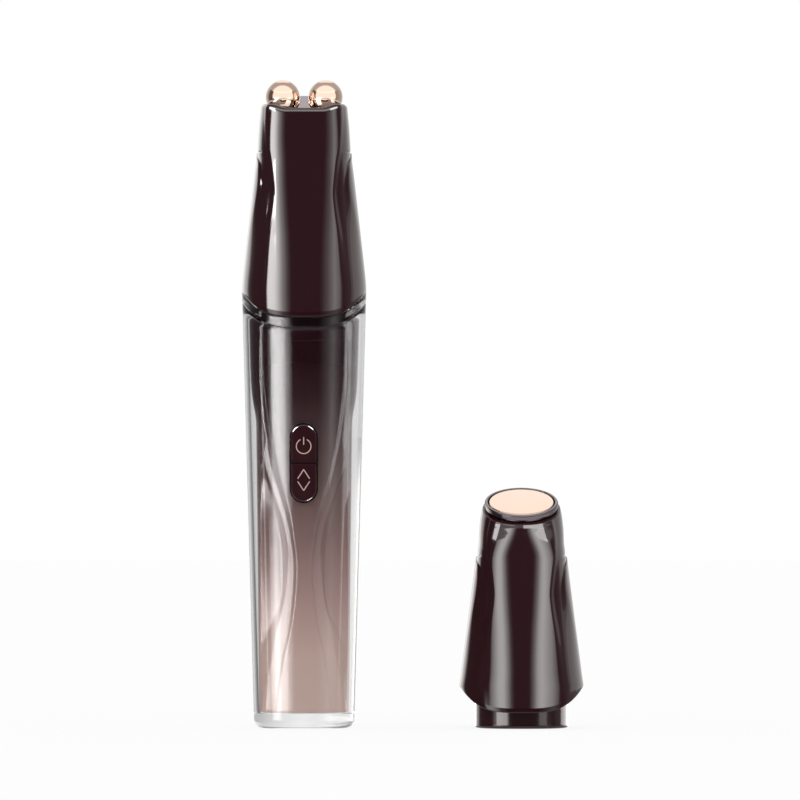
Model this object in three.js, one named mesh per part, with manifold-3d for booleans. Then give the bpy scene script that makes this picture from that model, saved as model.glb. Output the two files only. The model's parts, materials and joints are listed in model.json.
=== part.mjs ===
// A radio frequency eye massager: a pen handle with a clear sleeve round a waisted core, two keys,
// and two push-on heads, one with a pair of rolling balls and one with a slanted disc electrode.
// Millimetres, +Z up, the keys face -Y, and the origin is the middle of the handle's foot.
import * as THREE from 'three';
import { mergeVertices } from 'three/addons/utils/BufferGeometryUtils.js';
import Module from 'manifold-3d';

const wasm = await Module();
wasm.setup();

// Clearances.
const seatGap = 0.3;
const runGap = 0.3;
const plugGap = 0.3;

// Clear sleeve of the handle. Its outline tapers straight from the shoulder to the foot.
const footHalfWidth = 12.5;
const shoulderHalfWidth = 15.55;
const depthShare = 0.92;
const squareness = 2.35;
const sleeveWall = 1.2;
const footThickness = 3.7;
const footEdgeRadius = 2.2;

// Saddle seam between handle and head: it dips at the front and the back.
const seamSideHeight = 109.1;
const seamDip = 6.5;
const seamPower = 3.6;
const collarHeight = 2.4;

// Sculpted core inside the sleeve.
const coreWall = 1.4;
const coreFloor = 1.5;
const coreWaistTop = 76;
const coreShoulderHeight = 90;
const coreFootHalfWidth = 11.3;
const coreUpperHalfWidth = 12.1;
const ridgeWaistHeight = 38;
const ridgeWaistHalfWidth = 1.8;
const ridgeTopHeight = 92;
const ridgeTopHalfWidth = 10.5;
const ridgeFootHeight = -6;
const ridgeFootHalfWidth = 7.5;
const scoopShare = 0.2;

// Keys, one pill split across in two.
const keyWidth = 6.5;
const keyPillHeight = 19.3;
const keyPillDrop = 42.9;
const keyProud = 0.3;
const keyTravel = 0.4;
const keyFlangeLip = 0.9;
const keyFlangeThickness = 0.8;
const keyShellWall = 0.8;
const iconStroke = 0.4;
const iconSlack = 0.15;
const powerRingRadius = 1.75;
const powerIconRise = 4;
const powerBarLength = 2;
const powerBarDrop = 0.5;
const powerGapAngle = 0.65;
const chevronHalfWidth = 1.65;
const chevronRise = 2;
const chevronGap = 1.4;
const chevronHalfStroke = 0.32;
const levelIconDrop = 4.4;

// Switches and boards.
const switchSide = 4.5;
const switchDepth = 1.5;
const plungerRadius = 1;
const plungerLength = 1.2;
const boardThickness = 1;
const keyBoardWidth = 12;
const keyBoardHeight = 24;
const chassisThickness = 1.6;
const standoffRadius = 1.8;
const boardScrewRadius = 0.7;
const boardScrewLength = 3.2;
const boardScrewHeadRadius = 1.3;
const boardScrewHeadHeight = 0.7;
const batteryWidth = 12;
const batteryDepth = 4.8;
const batteryHeight = 42;
const mainBoardWidth = 16;
const mainBoardHeadroom = 5.5;
const rfBoardWidth = 11;
const rfBoardHeadroom = 6.5;
const rfBoardLift = 2.2;
const transformerSide = 7;
const transformerDepth = 3.5;
const chipSide = 6;
const chipDepth = 1.1;
const portWidth = 8.9;
const portHeight = 3.2;
const portDepth = 7.2;
const portWall = 0.4;
const portInset = 0.4;
const portTongueWidth = 6.2;
const portTongueThickness = 0.6;
const chargeBoardSetback = 4;
const motorRadius = 3.5;
const motorLength = 11;
const motorHeadroom = 5.1;
const motorShaftRadius = 0.6;
const motorShaftLength = 3.2;
const weightRadius = 2.8;
const weightLength = 2.6;
const weightHubRadius = 1.2;
const weightLift = 0.45;
const cradleDepth = 2.8;
const cradleHeight = 8.8;

// Plug of a head, its socket in the handle, the contacts and the magnets.
const plugHalfWidth = 11.7;
const plugLength = 10.6;
const plugWall = 1.6;
const plugFloor = 2.4;
const plugFlangeHeight = 2.2;
const socketFloor = 1.5;
const contactSpacing = 10;
const contactOffset = -4;
const pinRadius = 0.8;
const pinHeadRadius = 1.4;
const pinHeadHeight = 0.5;
const padRadius = 1.5;
const padHeight = 0.6;
const padStemRadius = 0.6;
const padRecess = 0.7;
const padStemProud = 0.5;
const magnetRadius = 3;
const magnetHeight = 1.5;
const magnetOffset = 4.6;

// Shells of both heads.
const headWall = 1.6;
const headKinkHalfWidth = 11.7;
const valleyDepth = 0.85;
const valleyFootHeight = 12;
const panelAngle = 34;
const panelBlend = 11;
const petalFootAngle = 43;
const petalLeanAngle = 12;
const petalBlend = 8;
const spineWidth = 7;
const spineDepth = 4.4;
const spineOffset = -1;
const spineWeb = 2;
const headScrewRadius = 0.8;
const headScrewLength = 5;
const headScrewHeadRadius = 1.6;
const headScrewHeadHeight = 0.9;
const headScrewRecess = 0.2;

// Roller head, heights above the seam at its sides.
const rollerKinkHeight = 34.6;
const rollerNeckHeight = 12.1;
const rollerTopHalfWidth = 11.4;
const rollerTopRadius = 1.3;
const rollerDeckThickness = 4.4;
const ballRadius = 4.25;
const ballSpacing = 10.7;
const ballRise = 1.8;
const axleTilt = 30;
const axleRadius = 0.8;
const axleHeadRadius = 1.2;
const axleHeadLength = 0.6;
const bushWall = 0.55;
const bushLength = 3.6;
const bushInset = 0.45;
const axleSlack = 0.15;
const axleSeatDepth = 0.7;
const postWidth = 4.4;
const postDepth = 4.6;
const postRise = 2.1;
const postFootWidth = 9;
const postFootDepth = 9;
const postFootThickness = 1.6;

// Disc head, standing beside the handle on its own plug, heights above its seam at the sides.
const discHeadOffset = 54.3;
const discKinkHeight = 32.4;
const discTopHalfWidth = 10.1;
const discNeckHeight = 13.4;
const discCrownRoom = 6.2;
const discTilt = 22.6;
const discRadius = 8.1;
const discThickness = 0.95;
const discCrown = 0.35;
const discSkirtRadius = 6.9;
const discSkirtWall = 0.8;
const discSkirtLength = 2.9;
const bezelRadius = 9.2;
const bezelLip = 0.1;
const discDeckThickness = 3.2;
const sealWidth = 0.8;
const sealHeight = 0.4;
const heaterThickness = 0.6;
const retainerWidth = 14.4;
const retainerDepth = 6;
const retainerThickness = 1.4;

// Fineness of the round shapes.
const sectionPoints = 44;
const roundSides = 12;
const ballSides = 20;
const discSides = 28;
const seamSteps = 12;
const coreSteps = 10;
const skirtSteps = 7;
const crownSteps = 3;
const filletSteps = 3;
const arcSegments = 6;
const weldDistance = 1e-4;

// How far the plain cutting blocks reach past the object's middle, and how tall the tallest are.
const faceReach = 60;
const cutterHeight = 240;

function smooth(share) {
  const t = Math.min(1, Math.max(0, share));
  return t * t * (3 - 2 * t);
}

function mix(a, b, share) {
  return a + (b - a) * share;
}

// Turns a closed geometry into a solid that can be joined and cut.
function solidOf(geometry) {
  const bare = geometry.clone();
  bare.deleteAttribute('normal');
  bare.deleteAttribute('uv');
  const merged = mergeVertices(bare, weldDistance);
  const corners = merged.index.array;
  const triangles = [];
  for (let i = 0; i < corners.length; i += 3) {
    const [a, b, c] = [corners[i], corners[i + 1], corners[i + 2]];
    if (a !== b && b !== c && c !== a) {
      triangles.push(a, b, c);
    }
  }
  return new wasm.Manifold(new wasm.Mesh({
    numProp: 3,
    vertProperties: new Float32Array(merged.attributes.position.array),
    triVerts: new Uint32Array(triangles),
  }));
}

function geometryOf(solid) {
  const mesh = solid.getMesh();
  const geometry = new THREE.BufferGeometry();
  geometry.setAttribute('position', new THREE.BufferAttribute(new Float32Array(mesh.vertProperties), 3));
  geometry.setIndex(new THREE.BufferAttribute(new Uint32Array(mesh.triVerts), 1));
  geometry.computeVertexNormals();
  return geometry;
}

// One ring of a rounded, slightly square section. The shape may pull each point in.
function sectionRing(halfWidth, halfDepth, height, shape = null) {
  const ring = [];
  for (let i = 0; i < sectionPoints; i += 1) {
    const angle = (i / sectionPoints) * Math.PI * 2;
    const cosine = Math.cos(angle);
    const sine = Math.sin(angle);
    const point = new THREE.Vector3(
      Math.sign(cosine) * halfWidth * Math.abs(cosine) ** (2 / squareness),
      Math.sign(sine) * halfDepth * Math.abs(sine) ** (2 / squareness),
      height,
    );
    if (shape) {
      shape(point, halfWidth, halfDepth, height);
    }
    ring.push(point);
  }
  return ring;
}

// Skins a stack of rings, from the lowest up, and closes both ends.
function loft(rings) {
  const positions = [];
  const index = [];
  const count = rings[0].length;
  for (const ring of rings) {
    for (const point of ring) {
      positions.push(point.x, point.y, point.z);
    }
  }
  for (let r = 0; r + 1 < rings.length; r += 1) {
    for (let i = 0; i < count; i += 1) {
      const next = (i + 1) % count;
      const a = r * count + i;
      const b = r * count + next;
      const c = (r + 1) * count + next;
      const d = (r + 1) * count + i;
      index.push(a, b, c, a, c, d);
    }
  }
  const foot = positions.length / 3;
  const head = foot + 1;
  const top = (rings.length - 1) * count;
  positions.push(0, 0, rings[0][0].z, 0, 0, rings[rings.length - 1][0].z);
  for (let i = 0; i < count; i += 1) {
    const next = (i + 1) % count;
    index.push(foot, next, i, head, top + i, top + next);
  }
  const geometry = new THREE.BufferGeometry();
  geometry.setAttribute('position', new THREE.Float32BufferAttribute(positions, 3));
  geometry.setIndex(index);
  return geometry;
}

function box(width, depth, height, x = 0, y = 0, z = 0) {
  return solidOf(new THREE.BoxGeometry(width, depth, height).translate(x, y, z));
}

// A round bar along Z that starts at a height.
function bar(radius, height, x = 0, y = 0, z = 0, sides = roundSides) {
  const geometry = new THREE.CylinderGeometry(radius, radius, height, sides);
  return solidOf(geometry.rotateX(Math.PI / 2).translate(x, y, z + height / 2));
}

// A turned piece: its outline is a list of radius and height, from the axis back to the axis.
function turned(outline, sides = roundSides) {
  const points = outline.map(([radius, height]) => new THREE.Vector2(radius, height));
  return solidOf(new THREE.LatheGeometry(points, sides).rotateX(Math.PI / 2));
}

function ring(outer, inner, foot, top, sides = roundSides) {
  return turned([[inner, foot], [outer, foot], [outer, top], [inner, top], [inner, foot]], sides);
}

// A front-view outline of x and height, pushed through from one depth to another.
function frontPlate(shape, nearY, farY) {
  const geometry = new THREE.ExtrudeGeometry(shape, {
    depth: farY - nearY,
    bevelEnabled: false,
    curveSegments: arcSegments,
  });
  return solidOf(geometry.rotateX(Math.PI / 2).translate(0, farY, 0));
}

function pillShape(width, height, centre) {
  const radius = width / 2;
  const straight = height / 2 - radius;
  const shape = new THREE.Shape();
  shape.absarc(0, centre + straight, radius, 0, Math.PI, false);
  shape.absarc(0, centre - straight, radius, Math.PI, Math.PI * 2, false);
  shape.closePath();
  return shape;
}

// Height of the saddle seam over the side seam, at a place across the width.
function seamRise(x) {
  const share = Math.min(1, Math.abs(x) / shoulderHalfWidth);
  return -seamDip * (1 - share ** seamPower);
}

// Everything under the saddle seam, for cutting: the seam's side height is given.
function underSeam(sideHeight) {
  const shape = new THREE.Shape();
  shape.moveTo(-faceReach, sideHeight - cutterHeight);
  shape.lineTo(faceReach, sideHeight - cutterHeight);
  shape.lineTo(faceReach, sideHeight);
  for (let i = 0; i <= seamSteps; i += 1) {
    const x = mix(shoulderHalfWidth, -shoulderHalfWidth, i / seamSteps);
    shape.lineTo(x, sideHeight + seamRise(x));
  }
  shape.lineTo(-faceReach, sideHeight);
  shape.closePath();
  return frontPlate(shape, -faceReach, faceReach);
}

const pieces = new THREE.Group();

const finishes = {
  clear: { color: 0xe9ebee, roughness: 0.05, metalness: 0, transparent: true, opacity: 0.35 },
  smoke: { color: 0x8d8386, roughness: 0.2, metalness: 0 },
  lacquer: { color: 0x2d1419, roughness: 0.12, metalness: 0.4 },
  core: { color: 0x5d4542, roughness: 0.25, metalness: 0.3 },
  black: { color: 0x18181b, roughness: 0.5, metalness: 0 },
  roseGold: { color: 0xd9a993, roughness: 0.12, metalness: 1 },
  paleIcon: { color: 0xe7cfcb, roughness: 0.4, metalness: 0 },
  steel: { color: 0xb9b9bd, roughness: 0.3, metalness: 1 },
  gold: { color: 0xd8b26a, roughness: 0.25, metalness: 1 },
  mauve: { color: 0x8b7a80, roughness: 0.35, metalness: 0.2 },
  board: { color: 0x1f5c3a, roughness: 0.6, metalness: 0 },
  cell: { color: 0x8fa6b8, roughness: 0.4, metalness: 0.5 },
  ferrite: { color: 0x3a3a3d, roughness: 0.7, metalness: 0 },
  rubber: { color: 0x55565a, roughness: 0.8, metalness: 0 },
  cream: { color: 0xd9d3c7, roughness: 0.6, metalness: 0 },
};

function place(group, name, solid, finish) {
  const material = new THREE.MeshStandardMaterial(finishes[finish]);
  const mesh = new THREE.Mesh(geometryOf(solid), material);
  mesh.name = name;
  group.add(mesh);
  return mesh;
}

// Handle sizes that follow from the driving ones.
function sleeveHalfWidth(height) {
  return mix(footHalfWidth, shoulderHalfWidth, height / seamSideHeight);
}

function sleeveHalfDepth(height) {
  return depthShare * sleeveHalfWidth(height);
}

const coreFoot = footThickness + seatGap;
const cavityFoot = coreFoot + coreFloor;
const plugFoot = seamSideHeight - plugLength;
const socketTop = plugFoot - plugGap;
const socketFoot = socketTop - socketFloor;
const coreTop = socketFoot - seatGap;
const contactBoardFoot = coreTop - boardThickness;
const pinFoot = contactBoardFoot - seatGap - pinHeadHeight;
const motorTop = pinFoot - motorHeadroom;
const keyPillCentre = seamSideHeight - keyPillDrop;
const powerIconHeight = keyPillCentre + powerIconRise;
const levelIconHeight = keyPillCentre - levelIconDrop;
const chassisTop = contactBoardFoot - seatGap;
const coreInset = sleeveWall + seatGap;
const plugHalfDepth = plugHalfWidth - (1 - depthShare) * shoulderHalfWidth;

function sleeveRing(inset, height) {
  return sectionRing(sleeveHalfWidth(height) - inset, sleeveHalfDepth(height) - inset, height);
}

// The sleeve's outline at some distance inside its skin, with a rounded foot edge on request.
function sleeveForm(inset, foot, top, footRadius = 0) {
  const rings = [];
  const turns = footRadius > 0 ? filletSteps : 0;
  for (let i = 0; i < turns; i += 1) {
    const angle = (i / turns) * Math.PI / 2;
    const pulled = inset + footRadius * (1 - Math.sin(angle));
    const height = foot + footRadius * (1 - Math.cos(angle));
    rings.push(sleeveRing(pulled, height));
  }
  rings.push(sleeveRing(inset, foot + footRadius), sleeveRing(inset, top));
  return solidOf(loft(rings));
}

function coreHalfWidth(height) {
  const lower = mix(coreFootHalfWidth, coreUpperHalfWidth, height / coreWaistTop);
  const upper = sleeveHalfWidth(height) - coreInset;
  const share = smooth((height - coreWaistTop) / (coreShoulderHeight - coreWaistTop));
  return mix(lower, upper, share);
}

// Half the width of the hourglass panel on the core's front and back.
function ridgeHalfWidth(height) {
  if (height > ridgeWaistHeight) {
    const share = (height - ridgeWaistHeight) / (ridgeTopHeight - ridgeWaistHeight);
    return mix(ridgeWaistHalfWidth, ridgeTopHalfWidth, smooth(share));
  }
  const share = (ridgeWaistHeight - height) / (ridgeWaistHeight - ridgeFootHeight);
  return mix(ridgeWaistHalfWidth, ridgeFootHalfWidth, smooth(share));
}

// Pulls the four flanks of the core in between its panel and its sides.
function scoop(point, halfWidth, halfDepth, height) {
  const across = Math.abs(point.x) / halfWidth;
  const edge = ridgeHalfWidth(height) / halfWidth;
  if (across > edge && across < 1) {
    const share = Math.sin((Math.PI * (across - edge)) / (1 - edge)) ** 2;
    const fade = 1 - smooth((height - coreWaistTop) / (coreShoulderHeight - coreWaistTop));
    point.y *= 1 - scoopShare * share * fade;
  }
}

function coreForm(inset, foot, top, steps = coreSteps) {
  const rings = [];
  for (let i = 0; i <= steps; i += 1) {
    const height = mix(foot, top, i / steps);
    const halfWidth = coreHalfWidth(height) - inset;
    rings.push(sectionRing(halfWidth, sleeveHalfDepth(height) - coreInset - inset, height, scoop));
  }
  return solidOf(loft(rings));
}

// How far the inside of the core reaches to the front, some way off its middle.
function coreReach(height, x) {
  const halfWidth = coreHalfWidth(height) - coreWall;
  const halfDepth = sleeveHalfDepth(height) - coreInset - coreWall;
  return halfDepth * (1 - (Math.abs(x) / halfWidth) ** squareness) ** (1 / squareness);
}

const keySplit = keyPillCentre;
const keyFlangeWidth = keyWidth + 2 * keyFlangeLip;
const keyFlangeFoot = keyPillCentre - keyPillHeight / 2 - keyFlangeLip;
const keyFlangeFront = -(coreReach(keyFlangeFoot, keyFlangeWidth / 2) - runGap);
const keyFlangeBack = keyFlangeFront + keyFlangeThickness;
const plungerFront = keyFlangeBack + seatGap;
const switchFront = plungerFront + keyTravel + runGap;
const plungerHoleDepth = plungerLength - (switchFront - plungerFront) + keyTravel + runGap;
const keyBoardFront = switchFront + switchDepth + seatGap;
const keyBoardBack = keyBoardFront + boardThickness;
const chassisFront = -chassisThickness / 2;
const chassisBack = chassisThickness / 2;
const powerKeyHeight = keySplit + keyPillHeight / 4;
const levelKeyHeight = keySplit - keyPillHeight / 4;
const standoffReach = keyBoardHeight / 2 - standoffRadius;
const standoffHeights = [keyPillCentre + standoffReach, keyPillCentre - standoffReach];
const motorY = chassisFront - 2 * seatGap - motorRadius;
const chargeBoardFoot = cavityFoot + seatGap;
const portFoot = chargeBoardFoot + boardThickness + seatGap;
const portCentre = portFoot + portHeight / 2;
const portMouth = sleeveHalfDepth(portCentre) - portInset;
const pinPlaces = [-contactSpacing / 2, contactSpacing / 2];

// The round-ended section of the charging port, from one depth to another.
function portForm(grow, near, far) {
  const radius = portHeight / 2 + grow;
  const half = portWidth / 2 + grow - radius;
  const shape = new THREE.Shape();
  shape.absarc(half, portCentre, radius, -Math.PI / 2, Math.PI / 2, false);
  shape.absarc(-half, portCentre, radius, Math.PI / 2, Math.PI * 1.5, false);
  shape.closePath();
  return frontPlate(shape, near, far);
}

function keyHole() {
  const shape = pillShape(keyWidth + 2 * runGap, keyPillHeight + 2 * runGap, keyPillCentre);
  return frontPlate(shape, -faceReach, 0);
}

function buildSleeve() {
  const skin = sleeveForm(0, 0, seamSideHeight, footEdgeRadius);
  const hollow = sleeveForm(sleeveWall, footThickness, seamSideHeight + sleeveWall);
  return skin.subtract(hollow)
    .intersect(underSeam(seamSideHeight - collarHeight - seatGap))
    .subtract(portForm(seatGap, 0, faceReach))
    .subtract(keyHole());
}

function buildCollar() {
  const foot = seamSideHeight - seamDip - 2 * collarHeight;
  const skin = sleeveForm(0, foot, seamSideHeight);
  const hollow = sleeveForm(sleeveWall, foot - sleeveWall, seamSideHeight + sleeveWall);
  return skin.subtract(hollow)
    .intersect(underSeam(seamSideHeight - seatGap))
    .subtract(underSeam(seamSideHeight - collarHeight));
}

function buildCoreShell(side) {
  const body = coreForm(0, coreFoot, coreTop).subtract(coreForm(coreWall, cavityFoot, coreTop + coreWall));
  const away = box(faceReach, faceReach, cutterHeight, 0, (side * (seatGap - faceReach)) / 2, faceReach);
  const opening = side < 0 ? keyHole() : portForm(seatGap, 0, faceReach);
  return body.subtract(away).subtract(opening);
}

function buildSocket() {
  const skin = sleeveForm(coreInset, socketFoot, seamSideHeight);
  const bore = solidOf(loft([
    sectionRing(plugHalfWidth + plugGap, plugHalfDepth + plugGap, socketTop),
    sectionRing(plugHalfWidth + plugGap, plugHalfDepth + plugGap, seamSideHeight + socketFloor),
  ]));
  let socket = skin.subtract(bore).intersect(underSeam(seamSideHeight - seatGap));
  const holeFoot = socketFoot - socketFloor / 2;
  for (const x of pinPlaces) {
    socket = socket.subtract(bar(pinRadius + seatGap, 2 * socketFloor, x, contactOffset, holeFoot));
  }
  return socket;
}

function buildChassis() {
  const slab = box(faceReach, chassisThickness, cutterHeight, 0, 0, faceReach);
  let chassis = coreForm(coreWall + seatGap, cavityFoot + seatGap, chassisTop).intersect(slab);
  const standoffLength = chassisFront - keyBoardBack - seatGap;
  for (const height of standoffHeights) {
    const post = bar(standoffRadius, standoffLength + chassisThickness / 2);
    const hole = bar(boardScrewRadius + seatGap, boardScrewLength, 0, 0, standoffLength / 2);
    chassis = chassis.add(post.rotate([90, 0, 0]).translate([0, 0, height]));
    chassis = chassis.subtract(hole.rotate([90, 0, 0]).translate([0, chassisFront, height]));
  }
  const cradleWidth = 2 * motorRadius + 2 * seatGap + chassisThickness;
  const cradleMiddle = motorTop - motorLength / 2;
  const channelFoot = cradleMiddle - motorLength;
  const channel = bar(motorRadius + seatGap, motorLength * 2, 0, motorY, channelFoot, ballSides);
  const cradleY = chassisFront - cradleDepth / 2;
  const cradle = box(cradleWidth, cradleDepth, cradleHeight, 0, cradleY, cradleMiddle);
  return chassis.add(cradle).subtract(channel);
}

// One key of the pill: a cap through the sleeve, and a flange behind the core's wall that keeps it in.
function keyOutline(upper, grow) {
  const shape = pillShape(keyWidth + 2 * grow, keyPillHeight + 2 * grow, keyPillCentre);
  const pill = frontPlate(shape, -faceReach, faceReach);
  const sign = upper ? 1 : -1;
  const middle = keySplit + (sign * (faceReach + runGap)) / 2;
  const half = box(faceReach, faceReach * 3, faceReach, 0, 0, middle);
  return pill.intersect(half);
}

function powerIcon(grow) {
  const radius = powerRingRadius;
  const halfStroke = iconStroke / 2 + grow;
  const gap = powerGapAngle - grow / radius;
  const shape = new THREE.Shape();
  const start = Math.PI / 2 + gap;
  const end = Math.PI * 2.5 - gap;
  shape.absarc(0, powerIconHeight, radius + halfStroke, start, end, false);
  shape.absarc(0, powerIconHeight, radius - halfStroke, end, start, true);
  shape.closePath();
  const middle = powerIconHeight + radius - powerBarDrop;
  const stroke = box(2 * halfStroke, faceReach, powerBarLength + 2 * grow, 0, -faceReach / 2, middle);
  return frontPlate(shape, -faceReach, 0).add(stroke);
}

function chevron(foot, direction, grow) {
  const half = chevronHalfWidth + grow;
  const thick = chevronHalfStroke + grow;
  const apex = foot + direction * chevronRise;
  const shape = new THREE.Shape();
  const edge = direction * thick;
  shape.moveTo(-half, foot - edge);
  shape.lineTo(0, apex - edge);
  shape.lineTo(half, foot - edge);
  shape.lineTo(half, foot + edge);
  shape.lineTo(0, apex + edge);
  shape.lineTo(-half, foot + edge);
  shape.closePath();
  return frontPlate(shape, -faceReach, 0);
}

function levelIcon(grow) {
  const upper = chevron(levelIconHeight + chevronGap / 2, 1, grow);
  const lower = chevron(levelIconHeight - chevronGap / 2, -1, grow);
  return upper.add(lower);
}

const keyFace = sleeveForm(-keyProud, 0, seamSideHeight);
const iconFace = sleeveForm(-keyProud + seatGap / 3, 0, seamSideHeight);
const lensFront = -(sleeveHalfDepth(keyFlangeFoot) + keyProud - keyShellWall);

function buildKey(upper, icon) {
  const reach = box(faceReach, faceReach, cutterHeight, 0, keyFlangeBack - faceReach / 2, faceReach);
  const flangeY = keyFlangeBack - keyFlangeThickness / 2;
  const flange = box(faceReach, keyFlangeThickness, cutterHeight, 0, flangeY, faceReach);
  const cap = keyOutline(upper, 0).intersect(keyFace).intersect(reach);
  const room = keyOutline(upper, -keyShellWall)
    .intersect(box(faceReach, faceReach, cutterHeight, 0, lensFront + faceReach / 2, faceReach));
  return cap.add(keyOutline(upper, keyFlangeLip).intersect(flange))
    .subtract(room)
    .subtract(icon(iconSlack));
}

// The pale core of a key: it fills the cap, its icon stands up through the face, and it works the switch.
function buildLens(upper, icon) {
  const front = lensFront + seatGap / 2;
  const depth = keyFlangeBack - front;
  const block = keyOutline(upper, -keyShellWall - seatGap)
    .intersect(box(faceReach, depth, cutterHeight, 0, front + depth / 2, faceReach));
  const strokeY = front + (depth - faceReach) / 2;
  const strokes = icon(0)
    .intersect(iconFace)
    .intersect(box(faceReach, faceReach, cutterHeight, 0, strokeY, faceReach));
  return block.add(strokes);
}

function buildPlunger() {
  return bar(plungerRadius, plungerLength).rotate([-90, 0, 0]);
}

function buildSwitch() {
  const body = box(switchSide, switchDepth, switchSide, 0, switchDepth / 2, 0);
  const hole = bar(plungerRadius + runGap, plungerHoleDepth * 2, 0, 0, -plungerHoleDepth);
  return body.subtract(hole.rotate([-90, 0, 0]));
}

function buildKeyBoard() {
  let board = box(keyBoardWidth, boardThickness, keyBoardHeight, 0, 0, 0);
  for (const height of standoffHeights) {
    const hole = bar(boardScrewRadius + seatGap, boardThickness * 2, 0, 0, -boardThickness);
    board = board.subtract(hole.rotate([90, 0, 0]).translate([0, 0, height - keyPillCentre]));
  }
  return board;
}

// A screw that points along +Z, its head under the origin.
function buildScrew(radius, length, headRadius, headHeight) {
  return turned([
    [0, -headHeight], [headRadius, -headHeight], [headRadius, 0], [radius, 0], [radius, length], [0, length],
  ]);
}

function buildPort() {
  const back = portMouth - portDepth;
  const shell = portForm(0, back, portMouth).subtract(portForm(-portWall, back + portWall, faceReach));
  const tongueDepth = portDepth - 2 * portWall;
  const tongueY = back + (portWall + tongueDepth) / 2;
  return shell.add(box(portTongueWidth, tongueDepth, portTongueThickness, 0, tongueY, portCentre));
}

function buildContactBoard() {
  const inset = coreWall + seatGap;
  let board = coreForm(inset, contactBoardFoot, contactBoardFoot + boardThickness, 1);
  const holeFoot = contactBoardFoot - boardThickness;
  for (const x of pinPlaces) {
    board = board.subtract(bar(pinRadius + seatGap, 3 * boardThickness, x, contactOffset, holeFoot));
  }
  return board.subtract(bar(magnetRadius + seatGap, 3 * boardThickness, 0, magnetOffset, holeFoot));
}

function buildPin() {
  const shoulder = pinFoot + pinHeadHeight;
  const top = plugFoot + padRecess - seatGap;
  return turned([
    [0, pinFoot], [pinHeadRadius, pinFoot], [pinHeadRadius, shoulder],
    [pinRadius, shoulder], [pinRadius, top], [0, top],
  ]);
}

function buildMotor() {
  const body = bar(motorRadius, motorLength, 0, 0, -motorLength, ballSides);
  return body.subtract(bar(motorShaftRadius + runGap, motorShaftLength, 0, 0, -motorShaftLength / 2));
}

// The offset weight of the vibration motor, on its shaft.
function buildWeight() {
  const round = bar(weightRadius, weightLength, 0, 0, weightLift, ballSides);
  const half = box(4 * weightRadius, weightRadius, 4 * weightLength, 0, weightRadius / 2, 0);
  const hub = bar(weightHubRadius, weightLength, 0, 0, weightLift);
  const shaftFoot = runGap - motorShaftLength / 2;
  const shaft = bar(motorShaftRadius, weightLift + weightLength - shaftFoot, 0, 0, shaftFoot);
  return round.intersect(half).add(hub).add(shaft);
}

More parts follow.
